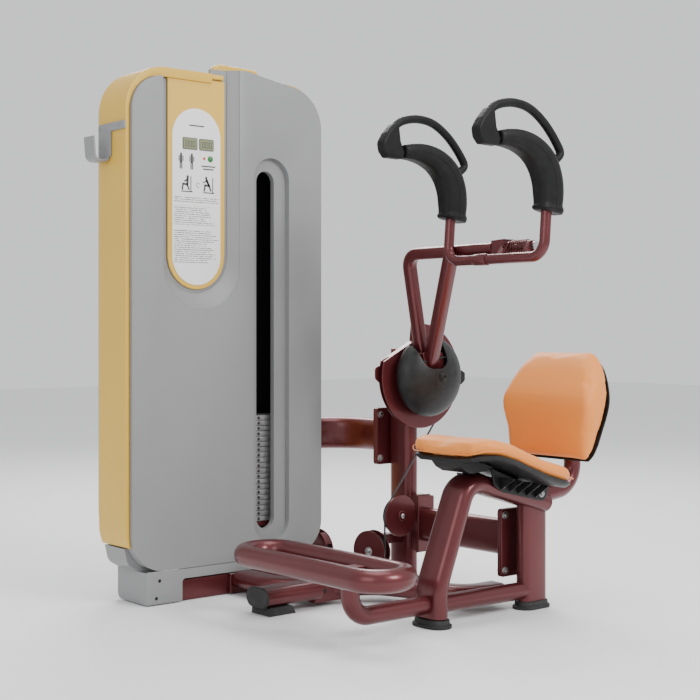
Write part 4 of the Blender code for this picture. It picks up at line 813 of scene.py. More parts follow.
def tower_shell():
    front = rect(0.0, 0.095, 0.712, 1.570, 0.132)
    rear = rect(0.0, 0.095, 0.738, 1.570, 0.132)
    obj = ring_band("side_shell", "shell", rear, 0.075, 0.1655, 0.006)
    carve(obj, ring_band("lip", "shell", front, 0.0135, 0.0765, 0.032), "UNION")
    carve(obj, ring_band("step", "shell", rear, 0.0742, 0.0792, 0.036), "UNION")
    carve(obj, blank(plate("YZ", rect(0.0, -0.1, 0.3, 0.172), -0.1, 0.9)))
    gap = 0.0012
    grown = [(SHROUD_SIDE - gap, 0.0968, 0.109), (0.7092, 0.0968, 0.101),
             (0.7092, 1.5462, 0.126), (0.521, 1.5732, 0.2), (0.420, 1.5912, 0.06),
             (0.2988, 1.5872, 0.0), (0.2988, LOBE_TOP + gap, 0.0),
             (SHROUD_SIDE - gap, LOBE_TOP + gap, 0.106)]
    carve(obj, blank(plate("XZ", grown, -0.01, 0.0368, 12)))
    window = rect(0.1065, 0.400, 0.30, 0.520)
    carve(obj, blank(plate("YZ", window, 0.70, 0.80)))
    round_edges(obj, 0.0022, 3)
    settle(obj, "frame", "tower_shell")
    cap = [(0.387, 1.5715, 0.0), (0.558, 1.5715, 0.0), (0.558, 1.628, 0.016),
           (0.387, 1.632, 0.028)]
    add("pulley_hump", plate("XZ", cap, 0.1345, 0.1655, 8), "shell", "frame", slot="gold_shell",
        edges=(0.006, 4))
    strap = rect(0.1470, 1.5548, 0.3440, 1.5695)
    add("strip_return", plate("XZ", strap, 0.0160, 0.0800), "shell", "frame", slot="gold_shell",
        edges=(0.004, 4))


def rear_shroud():
    low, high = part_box("rear_shroud")
    y0 = low.y - CORNER.y
    y1 = high.y - CORNER.y
    outer = [(0.006, 0.150, 0.11), (0.746 - 0.008, 0.150, 0.11), (0.738, 1.560, 0.12),
             (0.006, 1.560, 0.12)]
    bm = plate("XZ", outer, y0, y0 + 0.008, 14)
    face = [f for f in bm.faces if f.normal.y > 0.9 or f.normal.y < -0.9]
    face = max(face, key=lambda f: f.calc_center_median().y)
    steps = 6
    for k in range(steps):
        t = (k + 1) / steps
        rise = (y1 - y0 - 0.008) * (math.sin(t * math.pi / 2.0)
                                    - math.sin((t - 1.0 / steps) * math.pi / 2.0))
        bmesh.ops.inset_region(bm, faces=[face], thickness=0.0055 + 0.004 * k / steps)
        bmesh.ops.translate(bm, verts=face.verts, vec=(0, rise, 0))
    bmesh.ops.inset_region(bm, faces=[face], thickness=0.055)
    bmesh.ops.inset_region(bm, faces=[face], thickness=0.006)
    bmesh.ops.translate(bm, verts=face.verts, vec=(0, -0.004, 0))
    obj = add("rear_cover", bm, "shroud", "frame", "rear_shroud", "grey_shroud", 40.0)
    # painted shade: the inner faces looking towards the slot get the near-black finish for the
    # dark inside of the tower
    obj.data.materials.append(finish("hole"))
    for face in obj.data.polygons:
        face.material_index = int(face.normal.y < -0.9)
    bm = bmesh.new()
    for x in (0.070, 0.674):
        for z in (0.30, 0.85, 1.40):
            screw_head(bm, (x, y0 + 0.0475 - 0.004, z), AXIS_Y, 0.009)
    add("rear_cover_screws", bm, "zinc", "frame", slot="bright_steel")


def label_strip():
    trimmed = [(0.145, 1.552, 0.0), (0.145, 0.921, 0.1009), (0.347, 0.921, 0.1009),
               (0.347, 1.552, 0.0)]
    obj = add("gold_label_strip", plate("XZ", trimmed, 0.0190, 0.0257, 18), "shell", "frame",
              "label_strip", "gold_shell")
    centre = middle("reset_button") * Vector((1, 0, 1))
    carve(obj, drill(0.0093, 0.0, 0.0250, centre, AXIS_Y, 40))
    round_edges(obj, 0.0035, 4, 50.0)
    card = [(0.160, 1.460, 0.0854), (0.160, 0.934, 0.0854), (0.331, 0.934, 0.0854),
            (0.331, 1.460, 0.0854)]
    sheet = add("guidance_card", plate("XZ", card, 0.0174, 0.0189, 18), "card", None)
    carve(sheet, drill(0.0093, 0.0, 0.0250, centre, AXIS_Y, 40))
    settle(sheet, "frame", "instruction_plate")


def standing_figure(bm, x, z, size, y):
    """A plain standing figure: head, body, arms and legs."""
    parts = ((0.0, 0.42, 0.085, 0.0), (0.0, 0.12, 0.095, 0.17), (-0.15, 0.14, 0.034, 0.15),
             (0.15, 0.14, 0.034, 0.15), (-0.060, -0.30, 0.044, 0.20), (0.060, -0.30, 0.044, 0.20))
    for dx, dz, half, length in parts:
        verts = section(bm, half * size, 0.0, length * size, 4)
        spot = Matrix.Translation((x + dx * size, y, z + dz * size)) @ PLANES["XZ"]
        bmesh.ops.transform(bm, matrix=spot, verts=verts)
        face = bm.faces.new(verts)
        made = bmesh.ops.extrude_face_region(bm, geom=[face])["geom"]
        top = [g for g in made if isinstance(g, bmesh.types.BMVert)]
        bmesh.ops.translate(bm, verts=top, vec=(0, -0.0002, 0))


def seated_figure(bm, x, z, size, y, lean):
    """A plain seated figure on a bench, drawn with short bars."""
    bars = ((0.00, 0.00, 0.10, -0.24, 0.05), (0.00, 0.00, lean, 0.30, 0.07),
            (0.00, 0.00, -0.26, 0.02, 0.055), (-0.26, 0.02, -0.30, -0.26, 0.05),
            (lean * 0.8, 0.26, lean - 0.20, 0.16, 0.035), (0.22, -0.34, 0.22, 0.40, 0.03),
            (-0.34, -0.36, 0.30, -0.36, 0.03))
    for x0, z0, x1, z1, half in bars:
        a = Vector((x + x0 * size, y, z + z0 * size))
        b = Vector((x + x1 * size, y, z + z1 * size))
        verts = section(bm, half * size * 0.98, 0.0, (b - a).length / 2.0, 4)
        lie = Matrix.Rotation(-math.atan2(b.x - a.x, b.z - a.z), 4, "Z")
        spot = Matrix.Translation((a + b) / 2.0) @ PLANES["XZ"] @ lie
        bmesh.ops.transform(bm, matrix=spot, verts=verts)
        face = bm.faces.new(verts)
        made = bmesh.ops.extrude_face_region(bm, geom=[face])["geom"]
        top = [g for g in made if isinstance(g, bmesh.types.BMVert)]
        bmesh.ops.translate(bm, verts=top, vec=(0, -0.0002, 0))
    turn(bm, [(0.0, 0.0), (0.075 * size, 0.0), (0.075 * size, 0.0002), (0.0, 0.0002)],
         (x + lean * size * 1.15, y - 0.0002, z + 0.40 * size), AXIS_Y, 20)


def card_drawings():
    """Generic figures and marks on the card."""
    y = 0.01735
    bm = bmesh.new()
    standing_figure(bm, 0.190, 1.302, 0.046, y)
    standing_figure(bm, 0.228, 1.302, 0.046, y)
    seated_figure(bm, 0.212, 1.232, 0.058, y, 0.02)
    seated_figure(bm, 0.290, 1.232, 0.058, y, -0.16)
    ring = arc_points((0.2505, y - 0.0002, 1.232), 0.0065, 30, 320, 16)
    skin(bm, section(bm, 0.0007, 0, 0, 2), along(ring, AXIS_Y))
    for x0, x1, z in ((0.219, 0.272, 1.4065), (0.262, 0.312, 1.288), (0.268, 0.306, 1.2795)):
        slab(bm, "XZ", rect(x0, z, x1, z + 0.004), y - 0.0002, y)
    add("card_drawings", bm, "ink", "frame", slot="white_label")


def digit(bm, x, z, size, y, on):
    """Seven bars of one figure; on lists the lit ones."""
    w = size * 0.5
    h = size
    t = size * 0.10
    bars = ((0, h, w, h), (w, h / 2, w, h), (w, 0, w, h / 2), (0, 0, w, 0), (0, 0, 0, h / 2),
            (0, h / 2, 0, h), (0, h / 2, w, h / 2))
    for k in on:
        x0, z0, x1, z1 = bars[k]
        slab(bm, "XZ", rect(x + x0 - t / 2, z + z0 - t / 2, x + x1 + t / 2, z + z1 + t / 2),
             y - 0.00025, y)


def display():
    windows = ((0.1975, 0.2455), (0.2560, 0.3040))
    bezel = bmesh.new()
    glass = bmesh.new()
    figures = bmesh.new()
    for low, high in windows:
        slab(bezel, "XZ", rect(low - 0.002, 1.3365, high + 0.002, 1.3715, 0.004), 0.0158, 0.0173)
        slab(glass, "XZ", rect(low, 1.3385, high, 1.3695, 0.003), 0.0152, 0.0158)
        for k in range(3):
            digit(figures, low + 0.008 + 0.0125 * k, 1.3455, 0.0155, 0.0152, range(6))
    add("display_bezels", bezel, "bezel", "frame", "display_unit", "display_glass",
        edges=(0.0004, 2))
    add("display_windows", glass, "window", "frame", slot="display_glass")
    add("display_figures", figures, "ink", "frame", slot="display_glass")
    lamp = turned([(0.0, 0.0), (0.0035, 0.0006), (0.0042, 0.0016), (0.0042, 0.0022),
                   (0.0, 0.0022)], (0.272, 0.0152, 1.313), AXIS_Y, 24)
    add("signal_lamp", lamp, "lamp", "frame", slot="display_glass")
    low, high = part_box("reset_button")
    c = middle("reset_button")
    y0 = low.y - CORNER.y
    cap = turned([(0.0, 0.0), (0.0045, 0.0002), (0.0072, 0.0012), (0.0086, 0.0030),
                  (0.0088, 0.0045), (0.0088, 0.0100), (0.0, 0.0100)], (c.x, y0, c.z), AXIS_Y, 40)
    add("reset_button_cap", cap, "button", "button", "reset_button", "green_button")


def towel_hook():
    strap = [(0.012, 1.378, 0.003), (0.090, 1.378, 0.004), (0.090, 1.304, 0.006),
             (0.160, 1.304, 0.006), (0.160, 1.402, 0.006), (0.012, 1.402, 0.003)]
    add("towel_hook_plate", plate("YZ", strap, -0.0060, -0.0004, 5), "shroud", "frame",
        "towel_hook", "grey_shroud", edges=(0.0016, 3))
    path = rounded([(-0.0033, 0.128, 1.330, 0), (-0.0033, 0.128, 1.2935, 0.010),
                    (-0.0480, 0.128, 1.2935, 0.018), (-0.0535, 0.128, 1.362, 0)], 8)
    add("towel_hook_bend", tube((0.0026, 0.0260, 0.0004, 3), along(path, AXIS_Y)), "shroud",
        "frame", slot="grey_shroud", edges=(0.0008, 2, 50.0))
    bm = bmesh.new()
    screw_head(bm, (-0.0061, 0.150, 1.389), -AXIS_X, 0.0065)
    screw_head(bm, (-0.0061, 0.040, 1.390), -AXIS_X, 0.0050)
    add("towel_hook_screws", bm, "zinc", "frame", slot="bright_steel")


def base_skirt():
    corners = [(0.062, 0.003, 0.006), (0.184, 0.003, 0.004), (0.184, 0.068, 0.010),
               (0.690, 0.068, 0.004), (0.690, 0.0962, 0.004), (0.062, 0.0962, 0.004)]
    obj = add("skirt_front", plate("XZ", corners, 0.0, 0.0052, 6), "shroud", None)
    side = [(0.0, 0.003, 0.004), (0.163, 0.003, 0.02), (0.163, 0.0962, 0.0),
            (0.0, 0.0962, 0.0)]
    carve(obj, blank(plate("YZ", side, 0.062, 0.0670, 6)), "UNION")
    wedge = [(0.010, 0.168, 0.0), (0.022, 0.120, 0.030), (0.070, 0.090, 0.030),
             (0.180, 0.0900, 0.0), (0.180, 0.168, 0.0)]
    carve(obj, blank(plate("XZ", wedge, 0.0380, 0.150, 8)), "UNION")
    for x, z in ((0.106, 0.070), (0.095, 0.020)):
        carve(obj, drill(0.0055, -0.05, 0.004, (x, 0.0, z), AXIS_Y, 24))
    round_edges(obj, 0.0030, 3)
    settle(obj, "frame", "base_skirt")
    # painted shade: a near-black disc fills the bottom of each blind bolt hole
    bm = bmesh.new()
    for x, z in ((0.106, 0.070), (0.095, 0.020)):
        turn(bm, [(0.0, 0.0032), (0.0051, 0.0032), (0.0051, 0.0040), (0.0, 0.0040)],
             (x, 0.0, z), AXIS_Y, 24)
    add("skirt_hole_shade", bm, "hole", "frame", slot="bright_steel")


def base_beam():
    corners = rect(0.010, 0.0, 0.150, 0.064, 0.006)
    painted("tower_base", plate("YZ", corners, 0.074, 0.690, 4), "base_beam", edges=(0.002, 2))
    block = rect(0.354, 0.0045, 0.446, 0.0620, 0.003)
    painted("tower_base_block", plate("XZ", block, -0.0035, 0.0098, 4), edges=(0.0015, 2))
    # painted shade: a near-black disc on the block's face stands for the bolt hole
    bm = bmesh.new()
    turn(bm, [(0.0, -0.0038), (0.0065, -0.0038), (0.0065, -0.0032), (0.0, -0.0032)],
         (0.372, 0.0, 0.033), AXIS_Y, 20)
    add("tower_base_hole_shade", bm, "hole", "frame", slot="maroon_paint")


def weight_stack():
    """Plates with milled edges and a pin hole each, the hole a near-black disc of painted shade;
    the top one rides with the carriage.
    """
    low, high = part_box("weight_plates")
    top_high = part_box("top_plate")[1]
    count = bpy.context.scene.crunch_tower.plates
    pitch = (top_high.z - low.z) / count
    x0, y0 = low.x - CORNER.x, low.y - CORNER.y
    x1, y1 = high.x - CORNER.x, high.y - CORNER.y
    mid = (x0 + x1) / 2.0

    def one(bm, k):
        z = low.z + k * pitch
        corners = rect(x0, y0, x1, y1, 0.008)
        verts = slab(bm, "XY", corners, z + 0.0006, z + pitch - 0.0006, 3)
        rims = [e for e in edges_of(verts)
                if abs(e.verts[0].co.z - e.verts[1].co.z) < 1e-6]
        bmesh.ops.bevel(bm, geom=rims, offset=0.0016, segments=2, profile=0.5,
                        affect="EDGES", material=-1)

    stack = bmesh.new()
    hole_shade = bmesh.new()
    for k in range(count - 1):
        one(stack, k)
    # painted shade: each pin hole is a thin near-black disc laid on the plate's face
    for k in range(count):
        turn(hole_shade, [(0.0, -0.0003), (0.0046, -0.0003), (0.0052, 0.0004), (0.0, 0.0004)],
             (mid, y0, low.z + (k + 0.5) * pitch), AXIS_Y, 16)
    add("stack_plates", stack, "iron", "frame", "weight_plates", "stack_plate")
    add("stack_pin_hole_shade", hole_shade, "hole", "frame", slot="stack_plate")
    top = bmesh.new()
    one(top, count - 1)
    add("stack_top_plate", top, "iron", "carriage", "top_plate", "stack_plate")


# ------------------------------------------------------------------ frame tubes
def oval(extra=0.0):
    """Section of the oval frame tube."""
    look = bpy.context.scene.crunch_frame
    r = look.oval_depth / 2.0
    return r, look.oval_width / 2.0 - r + extra, 0.0, 6


def main_post():
    x = PIVOT.x - 0.001
    y = middle("post_foot").y
    path = [(x, y, 0.0222), (x, y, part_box("main_post")[1].z - 0.004)]
    painted("post_tube", tube(oval(), along(path, AXIS_Y)), "main_post", edges=(0.003, 3, 60.0))
    bm = bmesh.new()
    turn(bm, [(0.0266, -0.0520), (0.0345, -0.0520), (0.036, -0.0505), (0.036, 0.0565),
              (0.0345, 0.058), (0.0266, 0.058)], (PIVOT.x, y, PIVOT.z), AXIS_Y, 48)
    painted("post_bearing_housing", bm)
    corners = rect(x - 0.072, 0.372, x + 0.055, 0.552, 0.008)
    painted("post_flange", plate("XZ", corners, y + 0.0472, y + 0.056, 5), edges=(0.0015, 2))
    bm = bmesh.new()
    for dx in (-0.058, 0.041):
        for z in (0.392, 0.532):
            bolt_head(bm, (x + dx, y + 0.0472, z), -AXIS_Y, 0.0085, 0.008)
    add("post_flange_bolts", bm, "zinc", "frame", slot="bright_steel")


def link_tube():
    x = PIVOT.x - 0.001
    y_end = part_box("link_tube")[0].y - CORNER.y
    corner = 0.137
    z = 0.460
    path = rounded([(0.6825, corner, z, 0), (x, corner, z, 0.150), (x, y_end + 0.006, z, 0)], 16)
    painted("link_bend", tube(oval(0.002), along(path, AXIS_Z)), "link_tube")
    for name, plane, corners, a, b in (
            ("link_post_flange", "XZ", rect(x - 0.072, 0.372, x + 0.055, 0.552, 0.008),
             y_end, y_end + 0.010),
            ("link_tower_flange", "YZ", rect(0.104, 0.398, 0.163, 0.522, 0.006),
             0.6823, 0.690)):
        painted(name, plate(plane, corners, a, b, 5), edges=(0.0015, 2))
    bm = bmesh.new()
    for dx in (-0.058, 0.041):
        for dz in (0.392, 0.532):
            bolt_head(bm, (x + dx, y_end + 0.010, dz), AXIS_Y, 0.0085, 0.008)
    add("link_flange_bolts", bm, "zinc", "frame", slot="bright_steel")


def cross_beam():
    low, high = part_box("cross_beam")
    y0 = low.y - CORNER.y
    y1 = high.y - CORNER.y
    x = 0.912
    z = 0.191
    painted("beam_tube", tube(oval(0.003), along([(x, y1 - 0.004, z), (x, y0 + 0.004, z)],
                                                 AXIS_Z)), "cross_beam")
    for name, corners, a, b in (
            ("beam_front_flange", rect(0.878, 0.106, 0.946, 0.280, 0.006), y1 - 0.008, y1),
            ("beam_rear_flange", rect(0.838, 0.088, 0.972, 0.284, 0.008),
             y0, y0 + 0.009)):
        painted(name, plate("XZ", corners, a, b, 5), edges=(0.0015, 2))
    mate = rect(0.838, 0.088, 0.972, 0.284, 0.008)
    painted("rear_leg_flange", plate("XZ", mate, y0 - 0.0085, y0 - 0.0004, 5), edges=(0.0015, 2))
    bm = bmesh.new()
    for bx in (0.852, 0.958):
        for bz in (0.106, 0.266):
            bolt_head(bm, (bx, y0 + 0.009, bz), AXIS_Y, 0.008, 0.0075)
            bolt_head(bm, (bx, y0 - 0.0085, bz), -AXIS_Y, 0.008, 0.0075)
    add("beam_flange_bolts", bm, "zinc", "frame", slot="bright_steel")


LEG_PATH = [(0.521, 0.0222, 0.0), (0.521, 0.105, 0.120), (0.634, 0.388, 0.060),
            (0.952, 0.300, 0.0)]
BACK_TUBE = [(0.890, 0.312, 0.0), (1.096, 0.338, 0.075), (1.091, 0.534, 0.0)]


def at_user(points):
    """(x, z, radius) points set on the user's centre plane."""
    return [(x, USER_Y, z, r) for x, z, r in points]


def seat_frame():
    painted("seat_leg_and_rail", tube(oval(), along(rounded(at_user(LEG_PATH), 12), AXIS_Y)),
            "seat_frame", edges=(0.003, 2, 60.0))
    painted("seat_rear_leg", tube(oval(), along([(0.915, USER_Y, 0.0222), (0.915, USER_Y, 0.318)],
                                                AXIS_X)))
    r = bpy.context.scene.crunch_frame.round_tube / 2.0
    painted("back_rest_tube", tube((r, 0, 0, 8), along(rounded(at_user(BACK_TUBE), 12), AXIS_Y)))
    painted("side_tube_rail", tube((r, 0, 0, 8), along([(0.536, USER_Y, 0.056),
                                                        (0.900, USER_Y, 0.052)], AXIS_Y)),
            "side_tube")


def foot_bar():
    r = bpy.context.scene.crunch_frame.round_tube / 2.0
    low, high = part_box("foot_bar")
    path = rounded([(0.508, USER_Y, 0.060, 0), (0.232, USER_Y, 0.060, 0.060),
                    (0.232, USER_Y, 0.178, 0)], 12)
    painted("foot_bar_stem", tube((r, 0, 0, 8), along(path, AXIS_Y)), "foot_bar")
    e = high.z - 0.184
    h = 0.071
    x = 0.225
    ya = low.y - CORNER.y + e
    yb = high.y - CORNER.y - e
    bend = h * 0.98
    corners = [(x + h, (ya + yb) / 2.0, 0.184, 0), (x + h, yb, 0.184, bend),
               (x - h, yb, 0.184, bend), (x - h, ya, 0.184, bend), (x + h, ya, 0.184, bend),
               (x + h, (ya + yb) / 2.0, 0.184, 0)]
    loop = rounded(corners, 12)[:-1]
    painted("foot_bar_loop", tube((e, 0, 0, 9), along(loop, AXIS_Z, True), True))
    saddle = rect(x - h, 0.1725, x + h, 0.1935)
    painted("foot_bar_saddle", plate("XZ", saddle, USER_Y - 0.0215, USER_Y + 0.0215),
            edges=(0.002, 2))


def floor_beam():
    z = 0.045
    path = rounded([(0.400, -0.0043, z, 0), (0.400, -0.150, z, 0.10), (0.500, -0.275, z, 0.10),
                    (0.640, -0.360, z, 0.12), (0.735, -0.630, z, 0.09), (0.856, -0.632, z, 0)], 9)
    painted("floor_beam_tube", tube((0.0245, 0.0, 0.0185, 6), along(path, AXIS_Z)), "floor_beam",
            edges=(0.003, 2, 60.0))
    painted("outrigger_tube", tube((0.0258, 0.0, 0.0222, 6), along([(0.2455, -0.296, 0.050),
                                                                    (0.440, -0.296, 0.050)],
                                                                   AXIS_Z)))
    block = rect(0.428, 0.012, 0.528, 0.078, 0.004)
    painted("outrigger_block", plate("XZ", block, -0.322, -0.236, 4), edges=(0.0035, 3))
    # painted shade: a near-black disc on the block's front face stands for the bolt hole
    bm = bmesh.new()
    turn(bm, [(0.0, -0.0003), (0.0062, -0.0003), (0.0062, 0.0006), (0.0, 0.0006)],
         (0.462, -0.322, 0.044), AXIS_Y, 20)
    add("outrigger_hole_shade", bm, "hole", "frame", slot="maroon_paint")


def shoe(name, node, long_way):
    """A rubber shoe on the end of a leg."""
    low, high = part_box(node)
    c = middle(node)
    big = max(high.x - low.x, high.y - low.y) / 2.0
    small = min(high.x - low.x, high.y - low.y) / 2.0
    height = high.z
    bm = bmesh.new()
    verts = section(bm, small - 0.0005, 0.0, big - small, 10)
    if long_way == "X":
        bmesh.ops.rotate(bm, verts=verts, matrix=Matrix.Rotation(math.pi / 2, 3, "Z"))
    stations = []
    for z, inset in ((0.0, 0.0008), (0.0015, 0.0), (0.0075, 0.0), (0.0090, 0.0015),
                     (0.0100, 0.0040), (height - 0.0016, 0.0046), (height, 0.0058)):
        k = 1.0 - inset / small
        stations.append(Matrix.Translation((c.x, c.y, z)) @ Matrix.Diagonal((k, k, 1, 1)))
    skin(bm, verts, stations)
    add(name, bm, "rubber", "frame", node, "black_rubber", 50.0)


def shoes():
    shoe("front_shoe", "front_foot", "Y")
    shoe("rear_shoe", "rear_foot", "X")
    shoe("post_shoe", "post_foot", "Y")
    low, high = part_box("stabiliser_cap")
    c = middle("stabiliser_cap")
    bm = bmesh.new()
    stations = []
    for dx, k in ((0.2447, 1.0), (0.2400, 1.0), (0.2375, 0.975), (0.2360, 0.93)):
        m = along([(dx, c.y, c.z), (dx - 0.01, c.y, c.z)], AXIS_Z)[0]
        stations.append(m @ Matrix.Diagonal((k, k, 1, 1)))
    skin(bm, section(bm, 0.0285, 0.0, 0.0220, 7), stations)
    add("outrigger_plug", bm, "rubber", "frame", "stabiliser_cap", "black_rubber")
    low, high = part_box("stabiliser_foot")
    y0, y1 = low.y - CORNER.y, high.y - CORNER.y
    wedge = [(0.250, 0.0, 0.002), (0.345, 0.0, 0.002), (0.331, 0.0235, 0.004),
             (0.253, 0.0235, 0.003)]
    add("outrigger_wedge", plate("XZ", wedge, y0, y1, 4), "rubber", "frame", "stabiliser_foot",
        "black_rubber", edges=(0.002, 3))


# ------------------------------------------------------------------ pulleys and cable
def hub_frame(joint):
    """Centre and axis of a sheave from its joint."""
    made = [j for j in FRAME["joints"] if j["name"] == joint][0]
    return Vector(made["pos_m"]) - CORNER, Vector(made["axis"]).normalized()


def sheave(name, joint, body, node):
    c, axis = hub_frame(joint)
    r = 0.054
    g = 0.0492
    profile = [(0.0068, -0.0095), (0.0165, -0.0095), (0.0175, -0.0085), (0.0185, -0.0070),
               (0.0385, -0.0065), (0.0400, -0.0070), (0.0415, -0.0088), (r - 0.001, -0.0090),
               (r, -0.0083), (r, -0.0078), (g + 0.0015, -0.0050), (g, -0.0030), (g, 0.0030),
               (g + 0.0015, 0.0050), (r, 0.0078), (r, 0.0083), (r - 0.001, 0.0090),
               (0.0415, 0.0088), (0.0400, 0.0070), (0.0385, 0.0065), (0.0185, 0.0070),
               (0.0175, 0.0085), (0.0165, 0.0095), (0.0068, 0.0095)]
    obj = add(name, turned(profile, c, axis, 72), "black", None)
    side = axis.orthogonal().normalized()
    for k in range(5):
        way = Matrix.Rotation(2 * math.pi * k / 5, 3, axis) @ side
        carve(obj, drill(0.0062, -0.03, 0.03, c + way * 0.0285, axis, 20))
    soften(obj, 30.0)
    settle(obj, body, node)


def guard_pair(name, joint, node, web_from, web_to):
    """Two painted cheeks with a web between them and the axle's bolt heads."""
    c, axis = hub_frame(joint)
    out = -axis if axis.x < 0 else axis
    bm = bmesh.new()
    for low, high in ((-0.0150, -0.0115), (0.0115, 0.0150)):
        turn(bm, [(0.0066, low), (0.0630, low), (0.0640, low + 0.0008), (0.0640, high - 0.0008),
                  (0.0630, high), (0.0066, high)], c, out, 72)
    painted(name, bm, node)
    heading = out.cross(AXIS_Z) * -1.0
    pts = []
    for k in range(9):
        a = math.radians(web_from + (web_to - web_from) * k / 8)
        pts.append(c + heading * (0.0600 * math.cos(a)) + AXIS_Z * (0.0600 * math.sin(a)))
    painted(name + "_web", tube((0.0018, 0.0105, 0.0008, 2), along(pts, out)))
    bm = bmesh.new()
    bolt_head(bm, c - out * 0.0153, -out, 0.0095, 0.007)
    turn(bm, [(0.0, -0.0152), (0.0063, -0.0152), (0.0063, 0.0162), (0.0, 0.0162)], c, out, 24)
    add(name + "_axle", bm, "steel", "frame", node.replace("_guard", "_axle"), "bright_steel")


def running_gear():
    sheave("post_sheave_wheel", "post_pulley_turn", "post_sheave", "post_pulley")
    sheave("mid_sheave_wheel", "mid_pulley_turn", "mid_sheave", "mid_pulley")
    sheave("low_sheave_wheel", "low_pulley_turn", "low_sheave", "low_pulley")
    sheave("side_sheave_wheel", "side_pulley_turn", "side_sheave", "side_pulley")
    sheave("stack_sheave_wheel", "stack_pulley_turn", "stack_sheave", "stack_pulley")
    guard_pair("mid_guard", "mid_pulley_turn", "mid_pulley_guard", 20, 62)
    guard_pair("low_guard", "low_pulley_turn", "low_pulley_guard", 118, 160)
    post_guard()
    c = hub_frame("mid_pulley_turn")[0]
    inner = rect(c.y - 0.006, c.z + 0.016, c.y + 0.030, c.z + 0.046)
    painted("mid_guard_arm", plate("YZ", inner, c.x + 0.0145, PIVOT.x - 0.0275), edges=(0.003, 2))
    c = hub_frame("low_pulley_turn")[0]
    foot = rect(c.y, 0.040, c.y + 0.030, 0.060)
    painted("low_guard_foot", plate("YZ", foot, 0.6903, c.x - 0.0165))


def post_guard():
    """Cheek of the post pulley, one plate with the beam's flange."""
    c = hub_frame("post_pulley_turn")[0]
    low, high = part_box("post_pulley_guard")
    y0 = low.y - CORNER.y
    x1 = high.x - CORNER.x
    px0 = PIVOT.x - 0.026
    guard = 0.064
    bm = plate("XZ", [(px0, 0.104, 0.0), (x1, 0.104, 0.006), (x1, 0.284, 0.006),
                      (px0, 0.284, 0.0)], y0, y0 + 0.006, 5)
    obj = add("post_guard_plate", bm, "paint", None)
    disc = turned([(0.0, 0.0), (guard, 0.0), (guard, 0.006), (0.0, 0.006)], (c.x, y0, c.z),
                  AXIS_Y, 72)
    carve(obj, blank(disc), "UNION")
    for z in (0.124, 0.264):
        carve(obj, drill(0.0050, -0.02, 0.02, (PIVOT.x + 0.009, y0, z), AXIS_Y, 24))
    round_edges(obj, 0.0010, 2)
    settle(obj, "frame", "post_pulley_guard")
    pack = rect(PIVOT.x - 0.015, 0.106, x1 - 0.002, 0.282, 0.003)
    painted("post_guard_packing", plate("XZ", pack, y0 + 0.0061, high.y - CORNER.y, 4),
            edges=(0.0015, 2))
    bm = bmesh.new()
    turn(bm, [(0.0, -0.006), (0.0145, -0.006), (0.0165, -0.004), (0.0165, 0.0), (0.0, 0.0)],
         (c.x, y0 - 0.0004, c.z), AXIS_Y, 40)
    painted("post_axle_boss", bm)
    bm = bmesh.new()
    screw_head(bm, (c.x, y0 - 0.0066, c.z), -AXIS_Y, 0.0075)
    turn(bm, [(0.0, 0.0), (0.0062, 0.0), (0.0062, 0.0320), (0.0, 0.0320)], (c.x, y0, c.z),
         AXIS_Y, 24)
    add("post_axle", bm, "steel", "frame", "post_pulley_axle", "bright_steel")


def cable_run():
    """The pull cable on its whole route from the cam to the stack."""
    run = 0.0530
    on_cam = 0.1456
    radius = 0.0030
    post, mid, low, side, stack = (hub_frame(word + "_pulley_turn")[0] for word in
                                   ("post", "mid", "low", "side", "stack"))
    tilt = hub_frame("low_pulley_turn")[1]
    dx = PIVOT.x - post.x
    dz = PIVOT.z - post.z
    base = math.atan2(dz, dx)
    half = math.acos((on_cam + run) / math.hypot(dx, dz))
    leave = math.degrees(base + math.pi + half)
    meet = math.degrees(base + half)
    y = PIVOT.y
    heading = tilt.cross(AXIS_Z).normalized()
    if heading.y < 0:
        heading = -heading
    fall = math.degrees(math.atan2(mid.z - low.z, math.hypot(low.x - mid.x, low.y - mid.y)))

    def bend(c, a, b, start, end, steps=12):
        out = []
        for k in range(steps + 1):
            t = math.radians(start + (end - start) * k / steps)
            out.append(c + a * (run * math.cos(t)) + b * (run * math.sin(t)))
        return out

    pts = arc_points((PIVOT.x, y, PIVOT.z), on_cam, leave + 100.0, leave, 24)
    pts += arc_points((post.x, y, post.z), run, meet, 180.0, 10)
    pts += bend(mid, -heading, -AXIS_Z, 0, 90 - fall)
    pts += bend(low, -AXIS_Z, heading, -fall, 90)
    pts += bend(side, AXIS_X, AXIS_Z, 0, 90)
    pts += bend(stack, AXIS_Z, -AXIS_X, 0, 90)
    pts += [Vector((stack.x - run, stack.y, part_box("cable")[1].z - 0.06))]
    clean = [pts[0]]
    for p in pts[1:]:
        if (p - clean[-1]).length > 0.002:
            clean.append(p)
    clean[-1].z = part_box("lift_cable")[1].z + 0.0003
    add("pull_cable", tube((radius, 0, 0, 3), free_along(clean)), "cable", "frame", "cable",
        "cable_black", 60.0)
    low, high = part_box("lift_cable")
    x = (low.x + high.x) / 2.0 - CORNER.x
    yy = (low.y + high.y) / 2.0 - CORNER.y
    obj = add("lift_cable_run", tube((radius, 0, 0, 3), free_along([(x, yy, low.z),
                                                                    (x, yy, high.z)])), "cable",
              "frame", "lift_cable", "cable_black", 60.0)
    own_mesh(obj)


